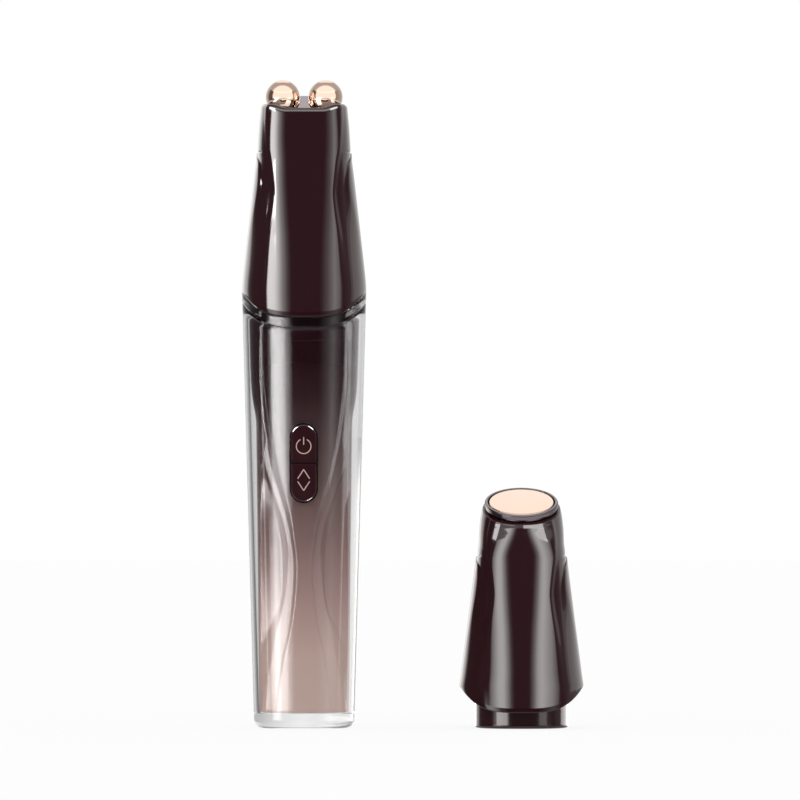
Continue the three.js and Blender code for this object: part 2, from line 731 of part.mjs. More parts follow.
function buildHandle(group) {
  place(group, 'outer_sleeve', buildSleeve(), 'clear');
  place(group, 'collar_ring', buildCollar(), 'smoke');
  place(group, 'core_front_shell', buildCoreShell(-1), 'core');
  place(group, 'core_rear_shell', buildCoreShell(1), 'core');
  place(group, 'head_socket', buildSocket(), 'core');
  place(group, 'chassis', buildChassis(), 'black');

  place(group, 'power_key', buildKey(true, powerIcon), 'lacquer');
  place(group, 'power_key_lens', buildLens(true, powerIcon), 'paleIcon');
  place(group, 'level_key', buildKey(false, levelIcon), 'lacquer');
  place(group, 'level_key_lens', buildLens(false, levelIcon), 'paleIcon');
  for (const [name, height] of [['power', powerKeyHeight], ['level', levelKeyHeight]]) {
    place(group, `${name}_switch_plunger`, buildPlunger(), 'black').position.set(0, plungerFront, height);
    place(group, `${name}_switch`, buildSwitch(), 'steel').position.set(0, switchFront, height);
  }
  place(group, 'key_board', buildKeyBoard(), 'board')
    .position.set(0, keyBoardFront + boardThickness / 2, keyPillCentre);
  for (const [name, height] of [['upper', standoffHeights[0]], ['lower', standoffHeights[1]]]) {
    const head = [boardScrewHeadRadius, boardScrewHeadHeight];
    const screw = buildScrew(boardScrewRadius, boardScrewLength, ...head);
    const mesh = place(group, `key_board_screw_${name}`, screw, 'steel');
    mesh.position.set(0, keyBoardFront - seatGap, height);
    mesh.rotation.x = -Math.PI / 2;
  }

  const rfBoardY = chassisFront - seatGap - boardThickness / 2;
  const rfBoardFoot = cavityFoot + rfBoardLift;
  const keyBoardFoot = keyPillCentre - keyBoardHeight / 2;
  const rfBoardHeight = keyBoardFoot - rfBoardHeadroom - rfBoardFoot;
  const rfBoardMiddle = rfBoardFoot + rfBoardHeight / 2;
  const transformerY = rfBoardY - (boardThickness + transformerDepth) / 2 - seatGap;
  place(group, 'rf_board', box(rfBoardWidth, boardThickness, rfBoardHeight), 'board')
    .position.set(0, rfBoardY, rfBoardMiddle);
  place(group, 'rf_transformer', box(transformerSide, transformerDepth, transformerSide), 'ferrite')
    .position.set(0, transformerY, rfBoardMiddle);

  const batteryFoot = portFoot + portHeight + 2 * seatGap;
  place(group, 'battery', box(batteryWidth, batteryDepth, batteryHeight), 'cell')
    .position.set(0, chassisBack + seatGap + batteryDepth / 2, batteryFoot + batteryHeight / 2);
  const mainBoardY = chassisBack + seatGap + boardThickness / 2;
  const mainBoardFoot = batteryFoot + batteryHeight + 2 * seatGap;
  const mainBoardHeight = contactBoardFoot - mainBoardHeadroom - mainBoardFoot;
  const mainBoardMiddle = mainBoardFoot + mainBoardHeight / 2;
  const chipY = mainBoardY + (boardThickness + chipDepth) / 2 + seatGap;
  place(group, 'main_board', box(mainBoardWidth, boardThickness, mainBoardHeight), 'board')
    .position.set(0, mainBoardY, mainBoardMiddle);
  place(group, 'controller_chip', box(chipSide, chipDepth, chipSide), 'ferrite')
    .position.set(0, chipY, mainBoardMiddle);

  const chargeBoardNear = chassisBack + seatGap;
  const chargeBoardDepth = portMouth - chargeBoardSetback - chargeBoardNear;
  place(group, 'charge_board', box(portWidth, chargeBoardDepth, boardThickness), 'board')
    .position.set(0, chargeBoardNear + chargeBoardDepth / 2, chargeBoardFoot + boardThickness / 2);
  place(group, 'charge_port', buildPort(), 'steel');

  place(group, 'contact_board', buildContactBoard(), 'board');
  for (const [name, x] of [['left', pinPlaces[0]], ['right', pinPlaces[1]]]) {
    place(group, `contact_pin_${name}`, buildPin(), 'gold').position.set(x, contactOffset, 0);
  }
  place(group, 'handle_magnet', bar(magnetRadius, magnetHeight), 'steel')
    .position.set(0, magnetOffset, socketFoot - seatGap - magnetHeight);
  place(group, 'vibration_motor', buildMotor(), 'steel').position.set(0, motorY, motorTop);
  place(group, 'motor_weight', buildWeight(), 'steel').position.set(0, motorY, motorTop);
}

// Half the width of a head at a height above its side seam.
function headHalfWidth(height, head) {
  if (height <= 0) {
    return sleeveHalfWidth(seamSideHeight + height);
  }
  if (height < head.kinkHeight) {
    return mix(shoulderHalfWidth, headKinkHalfWidth, height / head.kinkHeight);
  }
  const share = (height - head.kinkHeight) / (head.topHeight - head.kinkHeight);
  return mix(headKinkHalfWidth, head.topHalfWidth, share);
}

// A head is a waisted front panel between two side petals. Each petal starts in a point at the kink,
// and a valley runs down between it and the panel. Angles are counted from the front or the back.
function valleyInto(head) {
  return (point, halfWidth, halfDepth, height) => {
    const along = height / head.kinkHeight;
    if (along <= 0) {
      return;
    }
    const across = Math.atan2(Math.abs(point.x), Math.abs(point.y) / depthShare);
    const angle = THREE.MathUtils.radToDeg(across);
    const lean = petalLeanAngle * along;
    const tip = (90 - petalFootAngle - petalLeanAngle) * along ** petalBlend;
    const petalAngle = petalFootAngle + lean + tip;
    const rise = smooth((angle - panelAngle) / panelBlend);
    const fall = along >= 1 ? 0 : smooth((angle - petalAngle) / petalBlend);
    const depth = valleyDepth * smooth(height / valleyFootHeight) * rise * (1 - fall);
    const pulled = 1 - depth / Math.hypot(point.x, point.y);
    point.x *= pulled;
    point.y *= pulled;
  };
}

function headForm(head, inset, top, fluted = false) {
  const heights = [-seamDip - 2 * headWall, 0];
  for (let i = 1; fluted && i < skirtSteps; i += 1) {
    heights.push((head.kinkHeight * i) / skirtSteps);
  }
  heights.push(head.kinkHeight - seatGap, head.kinkHeight);
  const shape = fluted ? valleyInto(head) : null;
  const rings = heights.map((height) => {
    const halfWidth = headHalfWidth(height, head);
    return sectionRing(halfWidth - inset, depthShare * halfWidth - inset, height, shape);
  });
  const edgeRadius = fluted ? head.topRadius : 0;
  const turns = fluted ? filletSteps : 0;
  const crownHalfWidth = headHalfWidth(top - head.topRadius, head);
  for (let i = 0; i <= turns; i += 1) {
    const angle = ((i / Math.max(turns, 1)) * Math.PI) / 2;
    const pulled = inset + edgeRadius * (1 - Math.cos(angle));
    const height = top - edgeRadius * (1 - Math.sin(angle));
    rings.push(sectionRing(crownHalfWidth - pulled, depthShare * crownHalfWidth - pulled, height, shape));
  }
  return solidOf(loft(rings));
}

function buildPlug(head) {
  const half = plugHalfWidth;
  const body = solidOf(loft([
    sectionRing(half, plugHalfDepth, -plugLength),
    sectionRing(half, plugHalfDepth, plugFlangeHeight),
  ]));
  const room = solidOf(loft([
    sectionRing(half - plugWall, plugHalfDepth - plugWall, plugFloor - plugLength),
    sectionRing(half - plugWall, plugHalfDepth - plugWall, plugFlangeHeight + plugWall),
  ]));
  const flange = headForm(head, headWall + seatGap, head.topHeight)
    .subtract(underSeam(0))
    .intersect(box(faceReach, faceReach, faceReach, 0, 0, plugFlangeHeight - faceReach / 2));
  let plug = body.add(flange).subtract(room);
  for (const x of pinPlaces) {
    const recess = 2 * (padRecess + padHeight + seatGap);
    plug = plug.subtract(bar(padRadius + seatGap, recess, x, contactOffset, -plugLength - recess / 2));
    plug = plug.subtract(bar(padStemRadius + seatGap, 2 * plugFloor, x, contactOffset, -plugLength));
  }
  const seatDepth = headScrewRecess + headScrewHeadHeight + seatGap;
  const seatFoot = -plugLength - seatDepth;
  const counterbore = bar(headScrewHeadRadius + seatGap, 2 * seatDepth, 0, spineOffset, seatFoot);
  const screwHole = bar(headScrewRadius + seatGap, 2 * plugFloor, 0, spineOffset, -plugLength);
  return plug.subtract(counterbore).subtract(screwHole);
}

function buildPad() {
  return turned([
    [0, 0], [padRadius, 0], [padRadius, padHeight], [padStemRadius, padHeight],
    [padStemRadius, plugFloor - padRecess + padStemProud], [0, plugFloor - padRecess + padStemProud],
  ]);
}

function buildSpine(top) {
  const foot = plugFloor + seatGap - plugLength;
  const height = top - foot;
  const middle = foot + height / 2;
  let spine = box(spineWidth, spineDepth, height, 0, spineOffset, middle);
  const pocketDepth = (spineDepth - spineWeb) / 2;
  for (const side of [-1, 1]) {
    const y = spineOffset + side * ((spineDepth - pocketDepth) / 2 + seatGap);
    const pocketHeight = height - 4 * headScrewLength;
    const pocket = box(spineWidth - spineWeb, pocketDepth + 2 * seatGap, pocketHeight, 0, y, middle);
    spine = spine.subtract(pocket);
  }
  const holeFoot = foot - headScrewLength;
  const screwHole = bar(headScrewRadius + seatGap, 2 * headScrewLength, 0, spineOffset, holeFoot);
  return spine.subtract(screwHole);
}

// What both heads share: their plug with its contacts and magnet, and the spine screwed to it.
function buildHeadBase(group, name, head) {
  place(group, `${name}_plug`, buildPlug(head), 'black');
  for (const [side, x] of [['left', pinPlaces[0]], ['right', pinPlaces[1]]]) {
    place(group, `${name}_contact_${side}`, buildPad(), 'gold')
      .position.set(x, contactOffset, padRecess - plugLength);
  }
  place(group, `${name}_magnet`, bar(magnetRadius, magnetHeight), 'steel')
    .position.set(0, magnetOffset, plugFloor + seatGap - plugLength);
  place(group, `${name}_spine`, buildSpine(head.spineTop), 'cream');
  const screw = buildScrew(headScrewRadius, headScrewLength, headScrewHeadRadius, headScrewHeadHeight);
  place(group, `${name}_screw`, screw, 'steel')
    .position.set(0, spineOffset, headScrewRecess + headScrewHeadHeight - plugLength);
}

const rollerTopHeight = rollerKinkHeight + rollerNeckHeight;
const ballHeight = rollerTopHeight + ballRise;
const postTopHeight = rollerTopHeight + postRise;
const deckFoot = rollerTopHeight - rollerDeckThickness;
const postFoot = deckFoot - seatGap - postFootThickness;
const rollerHead = {
  kinkHeight: rollerKinkHeight,
  topHeight: rollerTopHeight,
  topHalfWidth: rollerTopHalfWidth,
  topRadius: rollerTopRadius,
  spineTop: postFoot - seatGap,
};

function sphere(radius) {
  return solidOf(new THREE.SphereGeometry(radius, ballSides, ballSides / 2).rotateX(Math.PI / 2));
}

// The room that a ball turns in.
function ballPocket(side) {
  return sphere(ballRadius + runGap).translate([(side * ballSpacing) / 2, 0, ballHeight]);
}

function buildRollerShell() {
  const hollow = headForm(rollerHead, headWall, deckFoot);
  const slot = box(postWidth + 2 * seatGap, postDepth + 2 * seatGap, faceReach, 0, 0, deckFoot);
  return headForm(rollerHead, 0, rollerTopHeight, true)
    .subtract(hollow)
    .subtract(underSeam(0))
    .subtract(ballPocket(-1))
    .subtract(ballPocket(1))
    .subtract(slot);
}

// Along an axle, places are counted outward from the middle of its ball.
const bushOuterRadius = axleRadius + axleSlack + bushWall;
const boreRadius = bushOuterRadius + axleSlack;
const bushFoot = -(ballRadius - bushInset);
const bushTop = bushFoot + bushLength;
const axleHeadFoot = bushTop + runGap;
const boreTop = axleHeadFoot + axleHeadLength + runGap;
const postFace = -(ballRadius + runGap);
const axleFoot = postFace - axleSeatDepth;

function placeOnAxle(solid, side) {
  const turn = side * (90 - axleTilt);
  return solid.rotate([0, turn, 0]).translate([(side * ballSpacing) / 2, 0, ballHeight]);
}

function buildPost() {
  const columnHeight = postTopHeight - postFoot;
  let post = box(postWidth, postDepth, columnHeight, 0, 0, postFoot + columnHeight / 2)
    .add(box(postFootWidth, postFootDepth, postFootThickness, 0, 0, postFoot + postFootThickness / 2));
  for (const side of [-1, 1]) {
    const seat = bar(axleRadius + axleSlack, ballRadius, 0, 0, axleFoot - axleSlack);
    post = post.subtract(ballPocket(side)).subtract(placeOnAxle(seat, side));
  }
  return post;
}

function buildBall() {
  return sphere(ballRadius).subtract(bar(boreRadius, boreTop + 2 * ballRadius, 0, 0, -2 * ballRadius));
}

function buildAxle() {
  return turned([
    [0, axleFoot], [axleRadius, axleFoot], [axleRadius, axleHeadFoot], [axleHeadRadius, axleHeadFoot],
    [axleHeadRadius, axleHeadFoot + axleHeadLength], [0, axleHeadFoot + axleHeadLength],
  ]);
}

function buildRollerHead(group) {
  buildHeadBase(group, 'roller', rollerHead);
  place(group, 'roller_shell', buildRollerShell(), 'lacquer');
  place(group, 'axle_post', buildPost(), 'mauve');
  for (const [name, side] of [['left', -1], ['right', 1]]) {
    const axis = new THREE.Group();
    axis.position.set((side * ballSpacing) / 2, 0, ballHeight);
    axis.rotation.y = THREE.MathUtils.degToRad(side * (90 - axleTilt));
    place(axis, `ball_${name}`, buildBall(), 'roseGold');
    const bush = ring(bushOuterRadius, axleRadius + axleSlack, bushFoot, bushTop);
    place(axis, `bush_${name}`, bush, 'black');
    place(axis, `axle_${name}`, buildAxle(), 'gold');
    group.add(axis);
  }
}

// In the disc's own frame its electrode faces +Z and the rim of its face is at height 0.
const discPlateThickness = discThickness - discCrown;
const discSeat = -discPlateThickness - sealHeight - 2 * seatGap;
const discDeckFoot = discSeat - discDeckThickness;
const heaterTop = -discPlateThickness - seatGap;
const insulatorTop = heaterTop - heaterThickness - seatGap;
const discSkirtInner = discSkirtRadius - discSkirtWall;
const retainerTop = discDeckFoot - seatGap;
const discCentreHeight = discKinkHeight + discNeckHeight;
const discTopHeight = discCentreHeight + discCrownRoom;
const tiltRadians = THREE.MathUtils.degToRad(discTilt);
const retainerUnder = (retainerTop - retainerThickness) / Math.cos(tiltRadians);
const spineFrontDrop = (spineDepth / 2 - spineOffset) * Math.tan(tiltRadians);
const discHead = {
  kinkHeight: discKinkHeight,
  topHeight: discTopHeight,
  topHalfWidth: discTopHalfWidth,
  topRadius: rollerTopRadius,
  spineTop: discCentreHeight + retainerUnder - spineFrontDrop - seatGap,
};

function buildDiscShell() {
  const onDisc = (solid) => solid.rotate([discTilt, 0, 0]).translate([0, 0, discCentreHeight]);
  const wide = faceReach * 2;
  const above = (height) => onDisc(box(wide, wide, wide, 0, 0, height + wide / 2));
  const hollow = headForm(discHead, headWall, discTopHeight).subtract(above(discDeckFoot));
  const boreFoot = discSeat - 2 * discDeckThickness;
  const bore = onDisc(bar(discSkirtRadius + seatGap, 3 * discDeckThickness, 0, 0, boreFoot, discSides));
  return headForm(discHead, 0, discTopHeight, true)
    .subtract(above(discSeat))
    .subtract(hollow)
    .subtract(underSeam(0))
    .subtract(bore);
}

function buildElectrode() {
  const skirtFoot = -discPlateThickness - discSkirtLength;
  const crown = [];
  for (let i = crownSteps; i >= 0; i -= 1) {
    const share = i / crownSteps;
    crown.push([(discRadius - discCrown) * share, discCrown * (1 - share ** 2)]);
  }
  return turned([
    [0, -discPlateThickness], [discSkirtInner, -discPlateThickness], [discSkirtInner, skirtFoot],
    [discSkirtRadius, skirtFoot], [discSkirtRadius, -discPlateThickness], [discRadius, -discPlateThickness],
    [discRadius, -discCrown / 2], ...crown,
  ], discSides);
}

function buildDiscHead(group) {
  buildHeadBase(group, 'disc', discHead);
  place(group, 'disc_shell', buildDiscShell(), 'lacquer');
  const face = new THREE.Group();
  face.position.set(0, 0, discCentreHeight);
  face.rotation.x = tiltRadians;
  const bezelFoot = discSeat + seatGap;
  const bezel = ring(bezelRadius, discRadius + seatGap, bezelFoot, bezelLip, discSides);
  place(face, 'disc_bezel', bezel, 'mauve');
  place(face, 'disc_electrode', buildElectrode(), 'roseGold');
  const sealFoot = discSeat + seatGap;
  const sealInner = discSkirtRadius + seatGap;
  const seal = ring(sealInner + sealWidth, sealInner, sealFoot, sealFoot + sealHeight, discSides);
  place(face, 'disc_seal', seal, 'rubber');
  const insideRadius = discSkirtInner - seatGap;
  const heater = bar(insideRadius, heaterThickness, 0, 0, heaterTop - heaterThickness);
  place(face, 'disc_heater', heater, 'gold');
  const insulatorLength = insulatorTop - discDeckFoot;
  place(face, 'disc_insulator', bar(insideRadius, insulatorLength, 0, 0, discDeckFoot), 'cream');
  place(face, 'disc_retainer', box(retainerWidth, retainerDepth, retainerThickness), 'steel')
    .position.set(0, 0, retainerTop - retainerThickness / 2);
  group.add(face);
}

const rollerGroup = new THREE.Group();
rollerGroup.position.set(0, 0, seamSideHeight);
const discGroup = new THREE.Group();
discGroup.position.set(discHeadOffset, 0, plugLength);
buildHandle(pieces);
buildRollerHead(rollerGroup);
buildDiscHead(discGroup);
pieces.add(rollerGroup, discGroup);

export default pieces;
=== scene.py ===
# The looks of a radio frequency eye massager: a wand with a clear tapering sleeve round a waisted core,
# a push-on head with two rolling balls, and a spare head with a slanted disc that stands beside it.
import json
import math

import bmesh
import bpy
from mathutils import Matrix, Vector


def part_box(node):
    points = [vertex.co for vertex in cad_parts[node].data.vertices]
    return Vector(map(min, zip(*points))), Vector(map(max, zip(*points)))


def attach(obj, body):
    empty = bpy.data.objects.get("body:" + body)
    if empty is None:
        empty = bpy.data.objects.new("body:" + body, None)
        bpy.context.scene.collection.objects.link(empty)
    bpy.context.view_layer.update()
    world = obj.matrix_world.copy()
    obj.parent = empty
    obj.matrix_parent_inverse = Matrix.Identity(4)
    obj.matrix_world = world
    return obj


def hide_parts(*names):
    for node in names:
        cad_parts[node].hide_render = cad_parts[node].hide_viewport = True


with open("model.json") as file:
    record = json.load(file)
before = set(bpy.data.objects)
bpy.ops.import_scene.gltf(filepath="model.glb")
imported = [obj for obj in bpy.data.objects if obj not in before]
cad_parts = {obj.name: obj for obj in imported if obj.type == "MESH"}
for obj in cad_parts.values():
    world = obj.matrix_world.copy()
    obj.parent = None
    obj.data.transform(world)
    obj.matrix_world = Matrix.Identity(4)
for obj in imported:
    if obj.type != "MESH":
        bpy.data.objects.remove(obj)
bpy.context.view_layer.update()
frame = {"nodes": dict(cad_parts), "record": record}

# Where it stands: a white sweep, seen square from the front through a long lens.
# The picture's middle is a little right of the wand, half way up it.
MM = 0.001
VIEW_MIDDLE = Vector((23.95 * MM, 0, 81.9 * MM))
VIEW_WIDTH = 200 * MM
VIEW_DISTANCE = 2.4
SENSOR = 36
SWEEP_SIZE = 5.0


def new_material(name):
    material = bpy.data.materials.new(name)
    material.use_nodes = True
    nodes = material.node_tree.nodes
    return material, nodes, material.node_tree.links, nodes["Principled BSDF"]


def new_object(name, mesh):
    piece = bpy.data.objects.new(name, mesh)
    bpy.context.scene.collection.objects.link(piece)
    return piece


camera = new_object("camera", bpy.data.cameras.new("camera"))
camera.data.sensor_width = SENSOR
camera.data.lens = SENSOR * VIEW_DISTANCE / VIEW_WIDTH
camera.location = VIEW_MIDDLE + Vector((0, -VIEW_DISTANCE, 0))
camera.rotation_euler = (math.radians(90), 0, 0)
camera.data.clip_end = 20
bpy.context.scene.camera = camera


def feed(links, sockets, values):
    """Gives each socket its value, which is a number or another node's output."""
    for socket, value in zip(sockets, values):
        if isinstance(value, (int, float)):
            socket.default_value = value
        else:
            links.new(value, socket)


def math_node(nodes, links, operation, first, second):
    """The result of one sum of two values."""
    node = nodes.new("ShaderNodeMath")
    node.operation = operation
    feed(links, node.inputs, (first, second))
    return node.outputs[0]


def mixed_surface(nodes, links, share, first, second):
    """Gives a material a mix of two shaders as its surface."""
    blend = nodes.new("ShaderNodeMixShader")
    feed(links, blend.inputs, (share, first.outputs[0], second.outputs[0]))
    links.new(blend.outputs[0], nodes["Material Output"].inputs["Surface"])


def sweep_material():
    """White paper: the camera sees it plain white, with only a trace of the shadow that lies on it."""
    shadow_trace = 0.12
    material, nodes, links, paper = new_material("white_sweep")
    paper.inputs["Base Color"].default_value = (0.9, 0.9, 0.9, 1)
    paper.inputs["Roughness"].default_value = 0.9
    paper.inputs["Specular IOR Level"].default_value = 0
    white = nodes.new("ShaderNodeEmission")
    path = nodes.new("ShaderNodeLightPath")
    share = math_node(nodes, links, "MULTIPLY", path.outputs["Is Camera Ray"], 1 - shadow_trace)
    mixed_surface(nodes, links, share, paper, white)
    return material


sweep_mesh = bpy.data.meshes.new("white_sweep")
half_sweep = SWEEP_SIZE / 2
sweep_corners = [(-1, -1), (1, -1), (1, 1), (-1, 1)]
sweep_mesh.from_pydata([(x * half_sweep, y * half_sweep, 0) for x, y in sweep_corners], [], [(0, 1, 2, 3)])
sweep_mesh.materials.append(sweep_material())
sweep = new_object("white_sweep", sweep_mesh)
sweep.visible_glossy = False
sweep.visible_transmission = False


def map_range(nodes, links, value, start, end, smooth_step=True, low=0.0, high=1.0):
    """A value that goes from low to high while another goes from its start to its end."""
    node = nodes.new("ShaderNodeMapRange")
    if smooth_step:
        node.interpolation_type = "SMOOTHSTEP"
    for label, number in (("From Min", start), ("From Max", end), ("To Min", low), ("To Max", high)):
        node.inputs[label].default_value = number
    links.new(value, node.inputs["Value"])
    return node.outputs[0]


def colour_ramp(nodes, links, value, stops):
    """A colour that follows a value through stops, each a place from 0 to 1 and a colour."""
    ramp = nodes.new("ShaderNodeValToRGB")
    elements = ramp.color_ramp.elements
    while len(elements) < len(stops):
        elements.new(0.5)
    for element, (place, colour) in zip(elements, stops):
        element.position = place
        element.color = (*colour, 1)
    links.new(value, ramp.inputs[0])
    return ramp.outputs[0]


def studio_world():
    """A plain white studio: even light on everything, and softboxes and dark flags that only gloss shows.

    Round the horizon the angles count from the camera's side, to the right. What is clear or leans down
    shows the lower ring, the heads lean up and show the upper ring at their sides, and the core, which is
    seen through the sleeve and so after more turns of the light, shows a ring of its own.
    """
    plain_level = 0.95
    brightest = 26.0
    bank_level, ceiling_level, panel_level, under_level = 1.15, 0.45, 1.08, 0.7
    panel_back, panel_up = 0.705, 0.709
    lower_ring = [
        (-180, 0.9), (-160, 0.72), (-130, 0.5), (-104, 0.1), (-64, 0.03), (-60, 0.3), (-56, 2.4), (-44, 3.0),
        (-36, 2.2), (-26, 0.5), (-13, 0.03), (18, 0.03), (34, 0.35), (48, 0.7), (62, 0.3), (70, 0.04),
        (86, 0.3), (120, 0.4), (150, 0.55), (164, 0.7), (180, 0.9),
    ]
    upper_ring = [
        (-180, 0.9), (-160, 0.72), (-130, 0.5), (-104, 0.1), (62, 0.1), (86, 0.3), (120, 0.4), (150, 0.55),
        (164, 0.7), (180, 0.9),
    ]
    inner_ring = [
        (-180, 0.9), (-166, 0.75), (-154, 0.4), (-140, 0.1), (-90, 0.1), (-87, 6.0), (-84, 6.0), (-81, 0.1),
        (-64, 0.1), (-59, 1.5), (-54, 15.0), (-43, 21.0), (-34, 17.0), (-23, 4.5), (-13, 0.05), (18, 0.05),
        (34, 0.5), (46, 1.4), (58, 0.5), (69, 0.1), (76, 0.2), (84, 4.5), (98, 4.5), (106, 1.3), (150, 0.6),
        (166, 0.75), (180, 0.9),
    ]
    world = bpy.data.worlds.new("studio")
    world.use_nodes = True
    nodes = world.node_tree.nodes
    links = world.node_tree.links
    nodes.clear()
    place = nodes.new("ShaderNodeTexCoord")
    axes = nodes.new("ShaderNodeSeparateXYZ")
    links.new(place.outputs["Generated"], axes.inputs[0])

    def calculate(operation, first, second):
        return math_node(nodes, links, operation, first, second)

    def ranged(value, start, end):
        return map_range(nodes, links, value, start, end)

    def blend(share, first, second):
        node = nodes.new("ShaderNodeMix")
        feed(links, (node.inputs[0], node.inputs[2], node.inputs[3]), (share, first, second))
        return node.outputs[0]

    turn = calculate("ARCTAN2", axes.outputs["X"], calculate("MULTIPLY", axes.outputs["Y"], -1))
    around = map_range(nodes, links, turn, -math.pi, math.pi, False)

    def softboxes(levels):
        stops = [((degrees + 180) / 360, (level / brightest,) * 3) for degrees, level in levels]
        return calculate("MULTIPLY", colour_ramp(nodes, links, around, stops), brightest)

    # Overhead there is a bank of light in front and a dim ceiling, with one white panel high behind that
    # the slanted disc shows; below there is the white sweep.
    upward, backward = axes.outputs["Z"], axes.outputs["Y"]
    leaning = calculate("MULTIPLY", backward, panel_back)
    panel = calculate("ADD", leaning, calculate("MULTIPLY", upward, panel_up))
    ceiling = blend(ranged(panel, 0.94, 0.975), ceiling_level, panel_level)
    overhead = blend(ranged(backward, -0.2, 0.05), bank_level, ceiling)
    path = nodes.new("ShaderNodeLightPath")
    rings = blend(ranged(upward, -0.05, -0.015), softboxes(lower_ring), softboxes(upper_ring))
    rings = blend(ranged(path.outputs["Ray Depth"], 3.2, 3.8), rings, softboxes(inner_ring))
    walls = blend(ranged(upward, 0.48, 0.56), rings, overhead)
    gloss = blend(ranged(calculate("MULTIPLY", upward, -1), 0.2, 0.34), walls, under_level)
    lit = blend(path.outputs["Is Glossy Ray"], plain_level, gloss)
    seen = blend(path.outputs["Is Camera Ray"], lit, 1)
    background = nodes.new("ShaderNodeBackground")
    background.inputs["Color"].default_value = (1, 1, 1, 1)
    links.new(seen, background.inputs["Strength"])
    output = nodes.new("ShaderNodeOutputWorld")
    links.new(background.outputs[0], output.inputs["Surface"])
    return world


bpy.context.scene.world = studio_world()
bpy.context.scene.view_settings.view_transform = "Standard"

# The clear sleeve: one polished acrylic moulding with a thin tapering wall on a thick foot block.
# It slides up over the core, with a pill-shaped window for the keys and a slot for the charging port.
SQUARENESS = 2.35
DEPTH_SHARE = 0.92
FOOT_HALF_WIDTH = 12.5 * MM
SHOULDER_HALF_WIDTH = 15.55 * MM
SEAM_HEIGHT = 109.1 * MM
SEAM_DIP = 6.5 * MM
SEAM_POWER = 3.6
COLLAR_HEIGHT = 2.4 * MM
SEAT_GAP = 0.3 * MM
SLEEVE_WALL = 1.2 * MM
BLOCK_THICKNESS = 3.7 * MM
FOOT_EDGE = 2.2 * MM
RIM_EDGE = 0.22 * MM
COLUMNS = 224
FRONT_COLUMN = 3 * COLUMNS // 4
REAR_COLUMN = COLUMNS // 4
KEY_CENTRE = 66.2 * MM
KEY_HALF_WIDTH = 3.25 * MM
KEY_HALF_HEIGHT = 9.65 * MM
PORT_CENTRE = 8.7 * MM
PORT_HALF_WIDTH = 4.45 * MM
PORT_HALF_HEIGHT = 1.6 * MM
KEY_MARGIN = 3 * MM
PORT_MARGIN = 1.6 * MM


def mix(a, b, share):
    return a + (b - a) * share


def evenly(start, end, count):
    """Even places from start to end, with both of them."""
    return [mix(start, end, i / count) for i in range(count + 1)]


def smooth(share):
    share = min(1, max(0, share))
    return share * share * (3 - 2 * share)


def wand_half_width(height):
    return mix(FOOT_HALF_WIDTH, SHOULDER_HALF_WIDTH, height / SEAM_HEIGHT)


def seam_rise(x):
    """How far the saddle seam lies over its own height at the sides, at a place across the width."""
    return -SEAM_DIP * (1 - min(1, abs(x) / SHOULDER_HALF_WIDTH) ** SEAM_POWER)


def section(half_x, half_y, angle):
    """A point of the rounded, slightly square outline that every part of the wand shares."""
    cosine, sine = math.cos(angle), math.sin(angle)
    x = math.copysign(half_x * abs(cosine) ** (2 / SQUARENESS), cosine)
    y = math.copysign(half_y * abs(sine) ** (2 / SQUARENESS), sine)
    return x, y


def section_depth(half_x, half_y, x):
    """How deep that outline is at a place across its width."""
    return half_y * max(0, 1 - abs(x / half_x) ** SQUARENESS) ** (1 / SQUARENESS)


def wand_ring(inset, height, seam_share=0.0):
    """One ring of the wand's outline, some way inside its skin, that follows the seam by a share."""
    ring = []
    for column in range(COLUMNS):
        angle = 2 * math.pi * column / COLUMNS
        z = height
        for _ in range(3):
            half = wand_half_width(z)
            x, y = section(half - inset, DEPTH_SHARE * half - inset, angle)
            z = height + seam_share * seam_rise(x)
        ring.append((x, y, z))
    return ring


